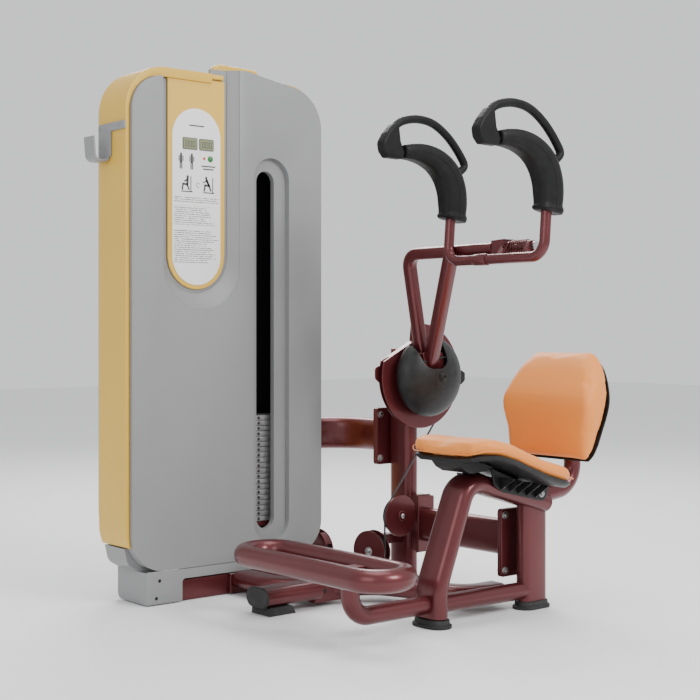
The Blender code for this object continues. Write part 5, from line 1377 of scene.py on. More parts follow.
# ------------------------------------------------------------------ arm
def cam_disc():
    y = PIVOT.y
    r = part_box("cam")[1].x - CORNER.x - PIVOT.x
    groove = 0.1422
    profile = [(0.0187, -0.0118), (0.060, -0.0118), (r - 0.0015, -0.0118), (r, -0.0105),
               (r, -0.0078), (groove + 0.003, -0.0056), (groove, -0.0035), (groove, 0.0035),
               (groove + 0.003, 0.0056), (r - 0.004, 0.0078), (r - 0.004, 0.0100),
               (r - 0.0055, 0.0108), (0.0187, 0.0108)]
    obj = add("cam_wheel", turned(profile, (PIVOT.x, y, PIVOT.z), AXIS_Y, 120), "paint", None)
    bite = [(PIVOT.x - 0.175, PIVOT.z + 0.038, 0), (PIVOT.x - 0.032, PIVOT.z + 0.110, 0),
            (PIVOT.x - 0.010, PIVOT.z + 0.300, 0), (PIVOT.x - 0.300, PIVOT.z + 0.300, 0),
            (PIVOT.x - 0.300, PIVOT.z + 0.038, 0)]
    carve(obj, blank(plate("XZ", bite, y - 0.1, y + 0.1)))
    round_edges(obj, 0.0012, 2, 35.0)
    settle(obj, "arm", "cam")
    lug = [(PIVOT.x - 0.138, PIVOT.z + 0.036, 0.004), (PIVOT.x - 0.176, PIVOT.z + 0.031, 0.014),
           (PIVOT.x - 0.176, PIVOT.z - 0.006, 0.014), (PIVOT.x - 0.138, PIVOT.z - 0.034, 0.004)]
    painted("cam_stop_lug", plate("XZ", lug, y + 0.0070, y + 0.0111, 5), body="arm",
            edges=(0.001, 2))
    hub = turned([(0.0187, -0.0598), (0.038, -0.0598), (0.040, -0.058), (0.040, -0.0115),
                  (0.0187, -0.0115)], (PIVOT.x, y, PIVOT.z), AXIS_Y, 48)
    painted("cam_hub", hub, body="arm")
    low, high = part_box("pivot_shaft")
    shaft = turned([(0.0, low.y), (0.0168, low.y), (0.018, low.y + 0.0012),
                    (0.018, high.y - 0.008), (0.0290, high.y - 0.008), (0.030, high.y - 0.007),
                    (0.030, high.y - 0.001), (0.029, high.y), (0.0, high.y)],
                   (PIVOT.x, -CORNER.y, PIVOT.z), AXIS_Y, 48)
    add("pivot_shaft_bar", shaft, "steel", "arm", "pivot_shaft", "bright_steel")


def cam_cover():
    """Domed cover with a mouth for the arm and a raised scroll round the screw."""
    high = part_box("cam_cover")[1]
    y = high.y - CORNER.y
    deep = 0.098
    outer = [(0.0, -deep), (0.022, -deep + 0.0008), (0.045, -0.0940), (0.066, -0.0885),
             (0.085, -0.0805), (0.101, -0.0710), (0.113, -0.0610), (0.121, -0.0500),
             (0.1255, -0.0380), (0.1262, -0.0290), (0.1235, -0.0200), (0.117, -0.0120),
             (0.107, -0.0055), (0.096, 0.0)]
    outer = [(max(0.0, p[0]), p[1]) for p in smooth_line(outer, 3)]
    wall = 0.005
    inner = [(max(0.0, a - wall), b + wall * (a < 0.115)) for a, b in outer if b < -0.010]
    inner = [(0.0, -deep + wall)] + inner[1:] + [(0.0895, 0.0)]
    bm = turned(outer + list(reversed(inner)), (PIVOT.x, y, PIVOT.z), AXIS_Y, 96)
    obj = add("cam_dome", bm, "black", None, angle=50.0)
    mouth = [(PIVOT.x - 0.112, PIVOT.z + 0.200, 0.0), (PIVOT.x - 0.062, PIVOT.z + 0.024, 0.034),
             (PIVOT.x + 0.027, PIVOT.z + 0.024, 0.034), (PIVOT.x + 0.014, PIVOT.z + 0.200, 0.0)]
    carve(obj, blank(plate("XZ", mouth, y - 0.3, y + 0.01, 8)))
    tab = [(PIVOT.x + 0.122, PIVOT.z + 0.018, 0.002), (PIVOT.x + 0.141, PIVOT.z + 0.008, 0.006),
           (PIVOT.x + 0.141, PIVOT.z - 0.016, 0.006), (PIVOT.x + 0.122, PIVOT.z - 0.030, 0.002)]
    carve(obj, blank(plate("XZ", tab, y - 0.050, y - 0.036, 5)), "UNION")
    round_edges(obj, 0.0012, 2, 40.0)
    settle(obj, "arm", "cam_cover")
    scroll = []
    for k in range(29):
        t = k / 28
        a = math.radians(200 - 330 * t)
        reach = 0.100 - 0.062 * t
        drop = min((b for q, b in outer if q >= reach), default=0.0)
        scroll.append((PIVOT.x + reach * math.cos(a), y + drop + 0.0015,
                       PIVOT.z + reach * math.sin(a)))
    scroll = [p for p in scroll if not (PIVOT.x - 0.07 < p[0] < PIVOT.x + 0.03
                                        and p[2] > PIVOT.z + 0.020)]
    add("cam_dome_scroll", tube((0.0030, 0, 0, 3), free_along(scroll)), "black", "arm",
        slot="black_plastic", angle=60.0)
    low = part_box("cover_screw")[0]
    bm = bmesh.new()
    turn(bm, [(0.0, 0.0055), (0.0155, 0.0055), (0.0155, 0.0040), (0.0140, 0.0030),
              (0.0, 0.0030)], (PIVOT.x, low.y - CORNER.y, PIVOT.z), AXIS_Y, 40)
    turn(bm, [(0.0, 0.0028), (0.0042, 0.0024), (0.0046, 0.0), (0.0085, 0.0002),
              (0.0105, 0.0016), (0.0110, 0.0034), (0.0, 0.0034)],
         (PIVOT.x, low.y - CORNER.y, PIVOT.z), AXIS_Y, 40)
    add("cover_screw_head", bm, "black", "arm", "cover_screw", "bright_steel")


ARM_FOOT = Vector((0.880, -0.292, 0.690))
ARM_TOP = 1.032


def arm_tubes():
    lean = Vector((SWIVEL.x - 0.005 - 0.868, 0.0, 0.285)).normalized()
    corner = ARM_FOOT + lean * ((ARM_TOP - ARM_FOOT.z) / lean.z)
    corner.y = -0.310
    end = Vector((corner.x, -0.6755, ARM_TOP))
    path = rounded([(*ARM_FOOT, 0), (*corner, 0.048), (*end, 0)], 12)
    normal = (corner - ARM_FOOT).cross(Vector((0, -1, 0))).normalized()
    painted("arm_upright", tube((0.010, 0.0085, 0.0080, 5), along(path, normal)), "arm_frame",
            body="arm", edges=(0.002, 2, 60.0))
    b0 = Vector((0.884, -0.318, 0.686))
    b1 = Vector((corner.x, -0.500, ARM_TOP - 0.004))
    normal = (b1 - b0).cross(AXIS_Y).normalized()
    painted("arm_brace", tube((0.010, 0.0110, 0.0080, 5), along([b0, b1], normal)), body="arm")
    stub = [(PIVOT.x - 0.044, PIVOT.z - 0.028, 0.024), (PIVOT.x + 0.040, PIVOT.z - 0.028, 0.024),
            (PIVOT.x + 0.020, PIVOT.z + 0.075, 0.008), (PIVOT.x - 0.064, PIVOT.z + 0.075, 0.008)]
    y1 = PIVOT.y - 0.0603
    plate_obj = painted("arm_stub", plate("XZ", stub, -0.332, y1, 5), body="arm")
    carve(plate_obj, drill(0.0186, -0.5, 0.0, (PIVOT.x, 0.0, PIVOT.z), AXIS_Y, 40))
    round_edges(plate_obj, 0.0015, 2)
    wedge = [(-0.6757, SWIVEL.z - 0.0175, 0.0), (-0.6757, SWIVEL.z + 0.0205, 0.0),
             (-0.7295, SWIVEL.z + 0.0235, 0.003), (-0.6975, SWIVEL.z - 0.0175, 0.003)]
    painted("arm_head", plate("YZ", wedge, SWIVEL.x - 0.0215, SWIVEL.x + 0.0215, 4), body="arm",
            edges=(0.002, 3))
    low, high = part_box("yoke_pin")
    pin = turned([(0.0, high.y), (0.0075, high.y), (0.008, high.y - 0.001),
                  (0.008, low.y + 0.007), (0.0125, low.y + 0.007), (0.013, low.y + 0.006),
                  (0.013, low.y + 0.001), (0.012, low.y), (0.0, low.y)],
                 (SWIVEL.x, -CORNER.y, SWIVEL.z), AXIS_Y, 40)
    add("swivel_pin", pin, "steel", "arm", "yoke_pin", "bright_steel")


def swivel_spring():
    low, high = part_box("yoke_spring")
    wire = 0.0024
    radius = (high.z - low.z) / 2.0 - wire
    y0 = high.y - CORNER.y - wire
    y1 = low.y - CORNER.y + wire
    turns = 8
    per_turn = 24
    pts = []
    for k in range(turns * per_turn + 1):
        t = k / (turns * per_turn)
        a = 2.0 * math.pi * turns * t
        pts.append((SWIVEL.x + radius * math.cos(a), y0 + (y1 - y0) * t,
                    SWIVEL.z + radius * math.sin(a)))
    painted("swivel_spring_coil", tube((wire, 0, 0, 3), free_along(pts)), "yoke_spring",
            body="arm", angle=60.0)


def handle_yoke():
    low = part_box("handle_yoke")[0]
    gap = 0.186
    x = low.x - CORNER.x + 0.015
    z = low.z + 0.0172
    path = rounded([(x + 0.012, USER_Y + gap, 1.149, 0), (x, USER_Y + gap, z, 0.045),
                    (x, USER_Y - gap, z, 0.045), (x + 0.012, USER_Y - gap, 1.149, 0)], 12)
    painted("yoke_tube", tube((0.015, 0, 0, 6), free_along(path)), "handle_yoke", body="handles")
    sleeve = turned([(0.0150, USER_Y + 0.024), (0.0166, USER_Y + 0.024),
                     (0.0172, USER_Y + 0.0255), (0.0172, USER_Y + 0.0735),
                     (0.0166, USER_Y + 0.075), (0.0150, USER_Y + 0.075)], (x, 0.0, z), AXIS_Y, 40)
    painted("yoke_sleeve", sleeve, body="handles")
    for k, (y0, y1) in enumerate(((-0.7405, -0.7315), (-0.8190, -0.8085))):
        eye = [(x - 0.004, z, 0.0), (x + 0.010, z - 0.008, 0.0),
               (SWIVEL.x + 0.020, SWIVEL.z - 0.012, 0.010),
               (SWIVEL.x + 0.012, SWIVEL.z + 0.016, 0.010),
               (SWIVEL.x - 0.016, SWIVEL.z + 0.014, 0.008)]
        lug = add("yoke_eye_%d" % (k + 1), plate("XZ", eye, y0, y1, 5), "paint", None)
        carve(lug, drill(0.0085, -0.9, -0.6, (SWIVEL.x, 0.0, SWIVEL.z), AXIS_Y, 32))
        round_edges(lug, 0.001, 2)
        settle(lug, "handles")


PAD_LINE = [(0.777, 1.121, 0.0420, 0.0262), (0.7778, 1.126, 0.0452, 0.0292),
            (0.7784, 1.133, 0.0452, 0.0292), (0.779, 1.141, 0.0425, 0.0266),
            (0.780, 1.168, 0.0445, 0.0282), (0.776, 1.205, 0.0445, 0.0300),
            (0.761, 1.242, 0.0430, 0.0310), (0.735, 1.271, 0.0390, 0.0310),
            (0.700, 1.292, 0.0340, 0.0300), (0.658, 1.304, 0.0290, 0.0285),
            (0.617, 1.307, 0.0240, 0.0265), (0.588, 1.3055, 0.0205, 0.0240),
            (0.580, 1.305, 0.0180, 0.0215)]
GRIP_LINE = [(0.545, 1.368), (0.572, 1.388), (0.606, 1.399), (0.645, 1.4035), (0.690, 1.399),
             (0.728, 1.384), (0.764, 1.360), (0.795, 1.331), (0.820, 1.301), (0.827, 1.287),
             (0.822, 1.275), (0.795, 1.256), (0.775, 1.245)]
PADDLE = [(0.500, 1.300, 0.016), (0.516, 1.283, 0.008), (0.572, 1.2825, 0.010),
          (0.584, 1.300, 0.012), (0.566, 1.330, 0.020), (0.560, 1.372, 0.010),
          (0.545, 1.386, 0.012), (0.512, 1.352, 0.020), (0.495, 1.325, 0.020)]


def smooth_line(points, steps):
    """A Catmull-Rom curve through the points, whatever they hold."""
    pts = [Vector(p) for p in points]
    pts = [pts[0] * 2 - pts[1]] + pts + [pts[-1] * 2 - pts[-2]]
    out = []
    for a, b, c, d in zip(pts, pts[1:], pts[2:], pts[3:]):
        for k in range(steps):
            t = k / steps
            out.append((b * 2 + (c - a) * t + (a * 2 - b * 5 + c * 4 - d) * t * t
                        + (b * 3 - a - c * 3 + d) * t * t * t) * 0.5)
    out.append(pts[-2])
    return out


def arm_pad(word, side, node, loop_node):
    y = USER_Y + side * 0.186
    line = smooth_line(PAD_LINE, 3)
    stations = []
    for i, p in enumerate(line):
        a = line[max(i - 1, 0)]
        b = line[min(i + 1, len(line) - 1)]
        tangent = Vector((b[0] - a[0], 0.0, b[1] - a[1])).normalized()
        across = Vector((tangent.z, 0.0, -tangent.x))
        m = Matrix((AXIS_Y * p[3], across * p[2], tangent * 0.03)).transposed().to_4x4()
        m.translation = Vector((p[0], y, p[1]))
        stations.append(m)
    bm = bmesh.new()
    verts = section(bm, 0.62, 0.38, 0.38, 6)
    skin(bm, verts, stations)
    obj = add("arm_pad_foam_" + word, bm, "foam", "handles", node, "black_grip", 70.0)
    round_edges(obj, 0.003, 3, 60.0)
    seam = []
    for i, p in enumerate(line[2:-2]):
        a = line[max(i + 1, 0)]
        b = line[min(i + 3, len(line) - 1)]
        tangent = Vector((b[0] - a[0], 0.0, b[1] - a[1])).normalized()
        across = Vector((tangent.z, 0.0, -tangent.x))
        seam.append(Vector((p[0], y, p[1])) + across * (p[2] * 0.10))
    ridge = bmesh.new()
    for way in (-1, 1):
        shifted = [q + AXIS_Y * (way * (line[2:-2][i][3] - 0.0002)) for i, q in enumerate(seam)]
        skin(ridge, section(ridge, 0.0009, 0, 0, 2), free_along(shifted))
    add("arm_pad_seam_" + word, ridge, "foam", "handles", slot="black_grip", angle=60.0)
    bm = bmesh.new()
    pts = [(p[0], y, p[1]) for p in smooth_line(GRIP_LINE, 4)]
    skin(bm, section(bm, 0.0120, 0, 0, 5), along(pts, AXIS_Y))
    add("hand_grip_" + word, bm, "foam", "handles", loop_node, "black_grip", 60.0)
    add("grip_paddle_" + word, plate("XZ", PADDLE, y - 0.0165, y + 0.0165, 6), "foam", "handles",
        slot="black_grip", edges=(0.0105, 5, 50.0))


# ------------------------------------------------------------------ pads
def stuffed(obj, swell):
    """Voxel remesh, a short pressure cloth run with a capped swell, then one subdivision."""
    mod = obj.modifiers.new("voxels", "REMESH")
    mod.mode = "VOXEL"
    mod.voxel_size = 0.0058
    mod.use_smooth_shade = True
    bake(obj)
    rest = [v.co.copy() for v in obj.data.vertices]
    mod = obj.modifiers.new("cloth", "CLOTH")
    mod.settings.use_pressure = True
    mod.settings.uniform_pressure_force = 4.0
    mod.settings.quality = 4
    mod.settings.mass = 0.3
    mod.settings.tension_stiffness = 25
    mod.settings.compression_stiffness = 25
    mod.settings.bending_stiffness = 2.0
    mod.settings.effector_weights.gravity = 0.0
    mod.point_cache.frame_start = 1
    mod.point_cache.frame_end = 20
    scene = bpy.context.scene
    for frame in range(1, 21):
        scene.frame_set(frame)
    deps = bpy.context.evaluated_depsgraph_get()
    moved = [v.co.copy() for v in obj.evaluated_get(deps).data.vertices]
    obj.modifiers.clear()
    for vert, old, new in zip(obj.data.vertices, rest, moved):
        step = new - old
        vert.co = old + step * (min(1.0, swell / step.length) if step.length > 1e-9 else 0.0)
    scene.frame_set(1)
    bm = bmesh.new()
    bm.from_mesh(obj.data)
    for _ in range(3):
        bmesh.ops.smooth_vert(bm, verts=bm.verts, factor=0.5, use_axis_x=True,
                              use_axis_y=True, use_axis_z=True)
    bm.to_mesh(obj.data)
    bm.free()
    obj.data.materials.clear()
    obj.data.materials.append(finish("cloth"))
    sub = obj.modifiers.new("smooth", "SUBSURF")
    sub.levels = 1
    sub.render_levels = 1
    obj.data.shade_smooth()
    return obj


def loft(rings):
    """Bridges rings of points into a closed form."""
    bm = bmesh.new()
    loops = []
    for ring in rings:
        verts = [bm.verts.new(p) for p in ring]
        loops.append([bm.edges.new((verts[i - 1], verts[i])) for i in range(len(verts))])
    for a, b in zip(loops, loops[1:]):
        bmesh.ops.bridge_loops(bm, edges=a + b)
    bmesh.ops.edgeloop_fill(bm, edges=loops[0])
    bmesh.ops.edgeloop_fill(bm, edges=loops[-1])
    return bm


SEAT_LINE = [(0.0, 0.452), (0.10, 0.465), (0.22, 0.464), (0.36, 0.449), (0.52, 0.424),
             (0.70, 0.398), (0.86, 0.380), (1.0, 0.366)]
SEAT_SPAN = (0.545, 0.938)
SEAT_HALF = 0.170
SEAT_DEEP = 0.040


def seat_at(t):
    """Height of the seat's underside and half width, t from nose 0 to rear 1."""
    for (a, za), (b, zb) in zip(SEAT_LINE, SEAT_LINE[1:]):
        if t <= b + 1e-9:
            s = (t - a) / (b - a)
            z = za + (zb - za) * s
            break
    if t < 0.34:
        u = 1.0 - t / 0.34
        half = SEAT_HALF * (0.42 + 0.58 * math.sqrt(max(0.0, 1.0 - u * u * 0.999)))
    elif t > 0.84:
        u = (t - 0.84) / 0.16
        half = SEAT_HALF * (0.70 + 0.30 * math.sqrt(max(0.0, 1.0 - u * u)))
    else:
        half = SEAT_HALF
    return z, half


def seat_cushion():
    rings = []
    count = 24
    inset = 0.004
    for i in range(count + 1):
        t = i / count
        z, half = seat_at(t)
        end = i in (0, count)
        x = SEAT_SPAN[0] + (SEAT_SPAN[1] - SEAT_SPAN[0]) * t
        x += inset if i == 0 else (-inset if i == count else 0.0)
        h = half - inset - (0.006 if end else 0.0)
        deep = SEAT_DEEP * (0.58 if end else 1.0) - inset
        base = z + 0.0015 + (0.004 if end else 0.0)
        rings.append([(x, USER_Y + h * a, base + deep * b) for a, b in
                      ((-0.95, 0.0), (-1.0, 0.36), (-0.985, 0.70), (-0.92, 0.93),
                       (-0.62, 1.01), (-0.30, 0.99), (0.0, 0.97), (0.30, 0.99),
                       (0.62, 1.01), (0.92, 0.93), (0.985, 0.70), (1.0, 0.36), (0.95, 0.0))])
    obj = add("seat_cushion", loft(rings), "cloth", None)
    stuffed(obj, bpy.context.scene.crunch_pads.swell)
    settle(obj, "frame", "seat_pad")
    line = []
    for i in range(1, 4 * count):
        t = i / (4 * count)
        z, half = seat_at(t)
        x = SEAT_SPAN[0] + (SEAT_SPAN[1] - SEAT_SPAN[0]) * t
        line.append((x, half - 0.0005, z + SEAT_DEEP * 0.30))
    ring = [Vector((x, USER_Y - h, z)) for x, h, z in line]
    ring += [Vector((x, USER_Y + h, z)) for x, h, z in reversed(line)]
    bm = bmesh.new()
    ring = smooth_closed(ring, 1)
    skin(bm, section(bm, 0.0013, 0, 0, 2), closed_free(ring), True)
    add("seat_seam", bm, "cloth", "frame", slot="orange_upholstery", angle=60.0)


def smooth_closed(points, rounds):
    pts = [Vector(p) for p in points]
    for _ in range(rounds):
        pts = [(pts[i - 1] + pts[i] * 2 + pts[(i + 1) % len(pts)]) / 4.0
               for i in range(len(pts))]
    return pts


def closed_free(points):
    """Stations round a closed loop that is nearly flat."""
    pts = [Vector(p) for p in points]
    out = []
    for i, p in enumerate(pts):
        tangent = (pts[(i + 1) % len(pts)] - pts[i - 1]).normalized()
        u = (AXIS_Z - tangent * tangent.z).normalized()
        m = Matrix((u, tangent.cross(u), tangent)).transposed().to_4x4()
        m.translation = p
        out.append(m)
    return out


BACK_LINE = [(0.424, 0.984, 0.996, 0.86), (0.440, 0.975, 1.004, 0.92),
             (0.470, 0.974, 1.018, 0.955), (0.510, 0.971, 1.035, 0.965),
             (0.545, 0.967, 1.048, 0.985), (0.580, 0.965, 1.059, 1.0),
             (0.610, 0.970, 1.067, 0.985), (0.650, 0.990, 1.075, 0.93),
             (0.690, 1.012, 1.080, 0.85), (0.715, 1.029, 1.077, 0.775),
             (0.730, 1.040, 1.072, 0.72), (0.740, 1.050, 1.066, 0.62)]
BACK_HALF = 0.1725


def back_rings(front, back, side):
    """Rings up the back rest: front, back and side insets from the CAD outline."""
    rings = []
    for z, xf, xb, k in smooth_line(BACK_LINE, 2):
        h = BACK_HALF * k - side
        a = xf + front
        b = xb - back
        e = min(0.013, max(0.003, (b - a) * 0.50))
        rings.append([(b, USER_Y - h, z), (a + e, USER_Y - h - 0.0005, z),
                      (a + 0.35 * e, USER_Y - h + 0.30 * e, z),
                      (a + 0.04 * e, USER_Y - h + 1.1 * e, z), (a - 0.001, USER_Y - h * 0.4, z),
                      (a - 0.001, USER_Y, z), (a - 0.001, USER_Y + h * 0.4, z),
                      (a + 0.04 * e, USER_Y + h - 1.1 * e, z),
                      (a + 0.35 * e, USER_Y + h - 0.30 * e, z),
                      (a + e, USER_Y + h + 0.0005, z), (b, USER_Y + h, z), (b, USER_Y, z)])
    return rings


def back_cushion():
    obj = add("back_cushion", loft(back_rings(0.004, 0.003, 0.004)), "cloth", None)
    stuffed(obj, bpy.context.scene.crunch_pads.swell)
    settle(obj, "frame", "back_pad")


def back_shell():
    rings = []
    line = smooth_line(BACK_LINE, 2)
    last = len(line) - 1
    for i, (z, _, xb, k) in enumerate(line):
        high = max(0.0, (z - 0.50) / 0.24)
        h = BACK_HALF * k - 0.003 - 0.016 * high * high
        z -= 0.011 * high * high
        x0 = xb + 0.0006
        d = 0.008 if i in (0, last) else (0.012 if i in (1, last - 1) else 0.0145)
        rings.append([(x0, USER_Y - h + 0.002, z), (x0 + d * 0.30, USER_Y - h + 0.0025, z),
                      (x0 + d * 0.75, USER_Y - h + 0.016, z), (x0 + d, USER_Y - h + 0.048, z),
                      (x0 + d, USER_Y, z), (x0 + d, USER_Y + h - 0.048, z),
                      (x0 + d * 0.75, USER_Y + h - 0.016, z),
                      (x0 + d * 0.30, USER_Y + h - 0.0025, z), (x0, USER_Y + h - 0.002, z),
                      (x0, USER_Y, z)])
    add("back_rest_shell", loft(rings), "black", "frame", "back_shell", "black_plastic", 40.0,
        edges=(0.0012, 2, 40.0))
    corners = [(1.040, 0.454, 0.006), (1.123, 0.454, 0.010), (1.121, 0.546, 0.012),
               (1.068, 0.546, 0.006)]
    block = add("back_rest_socket", plate("XZ", corners, USER_Y - 0.034, USER_Y + 0.034, 5),
                "black", None)
    path = rounded(at_user([(1.092, 0.40, 0), (1.0908, 0.50, 0.2), (1.0906, 0.5372, 0)]), 2)
    carve(block, blank(tube((0.0256, 0, 0, 8), along(path, AXIS_Y))))
    round_edges(block, 0.004, 3)
    settle(block, "frame")
    bm = bmesh.new()
    for z in (0.475, 0.525):
        screw_head(bm, (1.105, USER_Y - 0.0342, z), -AXIS_Y, 0.0065)
    add("back_rest_screws", bm, "zinc", "frame", slot="bright_steel")


def seat_shell():
    rings = []
    count = 24
    for i in range(count + 1):
        t = i / count
        z, half = seat_at(t)
        x = SEAT_SPAN[0] + (SEAT_SPAN[1] - SEAT_SPAN[0]) * t
        x += 0.010 if i == 0 else (-0.008 if i == count else 0.0)
        h = half - 0.010
        deep = 0.009 if i in (0, count) else 0.016
        rings.append([(x, USER_Y - h, z), (x, USER_Y, z), (x, USER_Y + h, z),
                      (x, USER_Y + h - 0.004, z - deep * 0.5),
                      (x, USER_Y + h - 0.020, z - deep), (x, USER_Y, z - deep),
                      (x, USER_Y - h + 0.020, z - deep), (x, USER_Y - h + 0.004, z - deep * 0.5)])
    obj = add("seat_carrier", loft(rings), "black", None, angle=40.0)
    rail = rounded(at_user([(0.521, 0.105, 0), (0.634, 0.388, 0.060), (0.960, 0.298, 0)]), 12)
    r = bpy.context.scene.crunch_frame.oval_depth / 2.0
    half = bpy.context.scene.crunch_frame.oval_width / 2.0 - r + 0.002
    carve(obj, blank(tube((r + 0.0008, half, 0.0, 6), along(rail, AXIS_Y))))
    round_edges(obj, 0.002, 3, 40.0)
    settle(obj, "frame", "seat_shell")
    for word, side in (("left", -1), ("right", 1)):
        y0 = USER_Y + side * 0.0532
        y1 = y0 + side * 0.0078
        keel = [(0.690, 0.4200, 0.0), (0.700, 0.372, 0.014), (0.735, 0.350, 0.014),
                (0.900, 0.312, 0.014), (0.916, 0.330, 0.010), (0.924, 0.3560, 0.0),
                (0.800, 0.3780, 0.0)]
        add("seat_cheek_" + word, plate("XZ", keel, min(y0, y1), max(y0, y1), 5), "black",
            "frame", slot="black_plastic", edges=(0.002, 2))
        ribs = bmesh.new()
        for x in (0.725, 0.760, 0.795, 0.830, 0.865):
            top = 0.392 - (x - 0.725) * 0.20
            low = 0.356 - (x - 0.735) * 0.235
            a = y1
            b = y1 + side * 0.050
            slab(ribs, "YZ", [(a, low, 0.0), (b, top - 0.004, 0.0), (b, top, 0.0),
                              (a, top, 0.0)], x - 0.0018, x + 0.0018)
        add("seat_ribs_" + word, ribs, "black", "frame", slot="black_plastic")
    nose = [(0.562, 0.4500, 0.0), (0.585, 0.4240, 0.010), (0.612, 0.4100, 0.010),
            (0.700, 0.4120, 0.0), (0.700, 0.425, 0.0), (0.600, 0.452, 0.0)]
    front = add("seat_nose_block", plate("XZ", nose, USER_Y - 0.055, USER_Y + 0.055, 5), "black",
                None)
    carve(front, blank(tube((r + 0.0008, half, 0.0, 6), along(rail, AXIS_Y))))
    round_edges(front, 0.002, 2, 40.0)
    settle(front, "frame")
    bm = bmesh.new()
    for x, z in ((0.735, 0.373), (0.892, 0.335)):
        bolt_head(bm, (x, USER_Y - 0.0612, z), -AXIS_Y, 0.0075, 0.006)
        bolt_head(bm, (x, USER_Y + 0.0612, z), AXIS_Y, 0.0075, 0.006)
    add("seat_bolts", bm, "zinc", "frame", slot="bright_steel")


def kept_nodes():
    """Pieces inside the tower that keep their shape and get their finish."""
    looks = {"stack_frame": "paint", "guide_rod_left": "steel", "guide_rod_right": "steel",
             "selector_rod": "steel", "side_pulley_axle": "steel",
             "stack_pulley_axle": "steel", "pivot_bearing": "steel"}
    for node, look in looks.items():
        obj = FRAME["nodes"][node]
        obj.data.materials.clear()
        obj.data.materials.append(finish(look))


# ------------------------------------------------------------------ stage
VIEW_FROM = Vector((-2.007, -3.377, 0.80))
VIEW_ALONG = Vector((0.643, 0.766, 0.0))
VIEW_LENS = 69.8
VIEW_RISE = -0.0286     # lens shift: the machine stands a little below the middle


def stage_floor():
    bm = bmesh.new()
    bmesh.ops.create_grid(bm, x_segments=1, y_segments=1, size=14.0)
    mesh = bpy.data.meshes.new("floor")
    bm.to_mesh(mesh)
    bm.free()
    floor = bpy.data.objects.new("floor", mesh)
    bpy.context.scene.collection.objects.link(floor)
    look = Finish("pale_floor", (0.86, 0.86, 0.86), 0.6)
    mesh.materials.append(look.material)
    floor.location.z = -0.0005


def stage_lights():
    world = bpy.data.worlds.new("studio")
    world.use_nodes = True
    sky = world.node_tree.nodes["Background"]
    sky.inputs[0].default_value = (0.97, 0.98, 1.0, 1.0)
    sky.inputs[1].default_value = 0.95
    bpy.context.scene.world = world
    centre = Vector((0.0, 0.0, 0.8))
    for name, place, size, power in (("key", (0.9, -4.0, 3.2), 1.6, 150.0),
                                     ("fill", (-3.6, -1.6, 2.2), 2.2, 38.0),
                                     ("rim", (1.8, 2.8, 3.4), 2.0, 120.0),
                                     ("top", (0.0, -0.2, 4.4), 2.6, 80.0)):
        lamp = bpy.data.lights.new(name, "AREA")
        lamp.energy = power
        lamp.size = size
        obj = bpy.data.objects.new(name, lamp)
        obj.location = place
        obj.rotation_euler = (centre - Vector(place)).to_track_quat("-Z", "Y").to_euler()
        bpy.context.scene.collection.objects.link(obj)


def stage_camera():
    camera = bpy.data.cameras.new("camera")
    obj = bpy.data.objects.new("camera", camera)
    bpy.context.scene.collection.objects.link(obj)
    obj.location = CORNER + VIEW_FROM
    obj.rotation_euler = VIEW_ALONG.to_track_quat("-Z", "Y").to_euler()
    camera.lens = VIEW_LENS
    camera.shift_y = VIEW_RISE
    bpy.context.scene.camera = obj


# ------------------------------------------------------------------ operators
class CRUNCH_OT_stage(bpy.types.Operator):
    """Set up the floor, the lights and the camera"""
    bl_idname = "crunch.stage"
    bl_label = "Studio"

    def execute(self, context):
        stage_camera()
        stage_floor()
        stage_lights()
        return {"FINISHED"}


class CRUNCH_OT_tower_panels(bpy.types.Operator):
    """Make the tower's front and rear panels and its side shell"""
    bl_idname = "crunch.tower_panels"
    bl_label = "Tower panels"

    def execute(self, context):
        front_shroud()
        tower_shell()
        rear_shroud()
        base_skirt()
        towel_hook()
        return {"FINISHED"}


class CRUNCH_OT_label(bpy.types.Operator):
    """Make the label strip, its card, the display and the button"""
    bl_idname = "crunch.label"
    bl_label = "Label and display"

    def execute(self, context):
        label_strip()
        card_drawings()
        display()
        return {"FINISHED"}


class CRUNCH_OT_stack(bpy.types.Operator):
    """Make the weight stack and finish the tower's inner parts"""
    bl_idname = "crunch.stack"
    bl_label = "Weight stack"

    def execute(self, context):
        weight_stack()
        kept_nodes()
        return {"FINISHED"}


class CRUNCH_OT_frame(bpy.types.Operator):
    """Make the painted tubes, their flanges and the shoes"""
    bl_idname = "crunch.frame"
    bl_label = "Frame"

    def execute(self, context):
        base_beam()
        main_post()
        link_tube()
        cross_beam()
        seat_frame()
        foot_bar()
        floor_beam()
        shoes()
        return {"FINISHED"}


class CRUNCH_OT_running_gear(bpy.types.Operator):
    """Make the pulleys, their guards and the cable"""
    bl_idname = "crunch.running_gear"
    bl_label = "Pulleys and cable"

    def execute(self, context):
        running_gear()
        cable_run()
        return {"FINISHED"}


class CRUNCH_OT_arm(bpy.types.Operator):
    """Make the cam, its cover, the swinging arm and the spring"""
    bl_idname = "crunch.arm"
    bl_label = "Swinging arm"

    def execute(self, context):
        cam_disc()
        cam_cover()
        arm_tubes()
        swivel_spring()
        return {"FINISHED"}


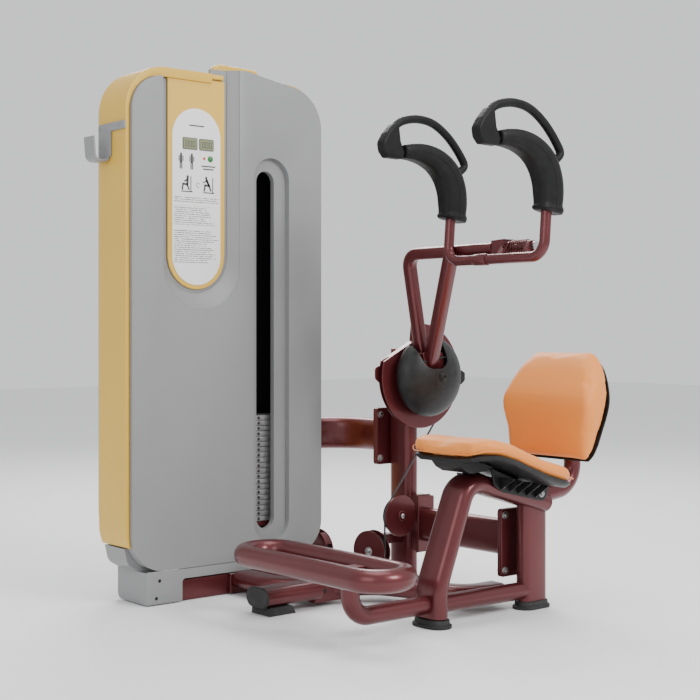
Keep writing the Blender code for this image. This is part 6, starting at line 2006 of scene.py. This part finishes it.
class CRUNCH_OT_handles(bpy.types.Operator):
    """Make the yoke, the arm pads and the hand grips"""
    bl_idname = "crunch.handles"
    bl_label = "Handles"

    def execute(self, context):
        handle_yoke()
        arm_pad("left", -1, "arm_pad_left", "grip_loop_left")
        arm_pad("right", 1, "arm_pad_right", "grip_loop_right")
        return {"FINISHED"}


class CRUNCH_OT_seat(bpy.types.Operator):
    """Make the seat cushion and its carrier"""
    bl_idname = "crunch.seat"
    bl_label = "Seat"

    def execute(self, context):
        seat_cushion()
        seat_shell()
        return {"FINISHED"}


class CRUNCH_OT_back_rest(bpy.types.Operator):
    """Make the back cushion and its shell"""
    bl_idname = "crunch.back_rest"
    bl_label = "Back rest"

    def execute(self, context):
        back_cushion()
        back_shell()
        return {"FINISHED"}


OPERATORS = (CRUNCH_OT_stage, CRUNCH_OT_tower_panels, CRUNCH_OT_label, CRUNCH_OT_stack,
             CRUNCH_OT_frame, CRUNCH_OT_running_gear, CRUNCH_OT_arm, CRUNCH_OT_handles,
             CRUNCH_OT_seat, CRUNCH_OT_back_rest)
GROUPS = {"crunch_tower": TowerLook, "crunch_frame": FrameLook, "crunch_pads": PadLook}


class CRUNCH_PT_panel(bpy.types.Panel):
    bl_label = "Crunch Machine"
    bl_idname = "CRUNCH_PT_panel"
    bl_space_type = "VIEW_3D"
    bl_region_type = "UI"
    bl_category = "Crunch Machine"

    def draw(self, context):
        for group, kind in GROUPS.items():
            box = self.layout.box()
            for name in kind.__annotations__:
                box.prop(getattr(context.scene, group), name)
        for operator in OPERATORS:
            self.layout.operator(operator.bl_idname)


def register():
    for kind in (*GROUPS.values(), *OPERATORS, CRUNCH_PT_panel):
        bpy.utils.register_class(kind)
    for group, kind in GROUPS.items():
        setattr(bpy.types.Scene, group, PointerProperty(type=kind))


def unregister():
    for group in GROUPS:
        delattr(bpy.types.Scene, group)
    for kind in reversed((*GROUPS.values(), *OPERATORS, CRUNCH_PT_panel)):
        bpy.utils.unregister_class(kind)


def main():
    register()
    for operator in OPERATORS:
        group, name = operator.bl_idname.split(".")
        getattr(getattr(bpy.ops, group), name)()


if __name__ == "__main__":
    main()
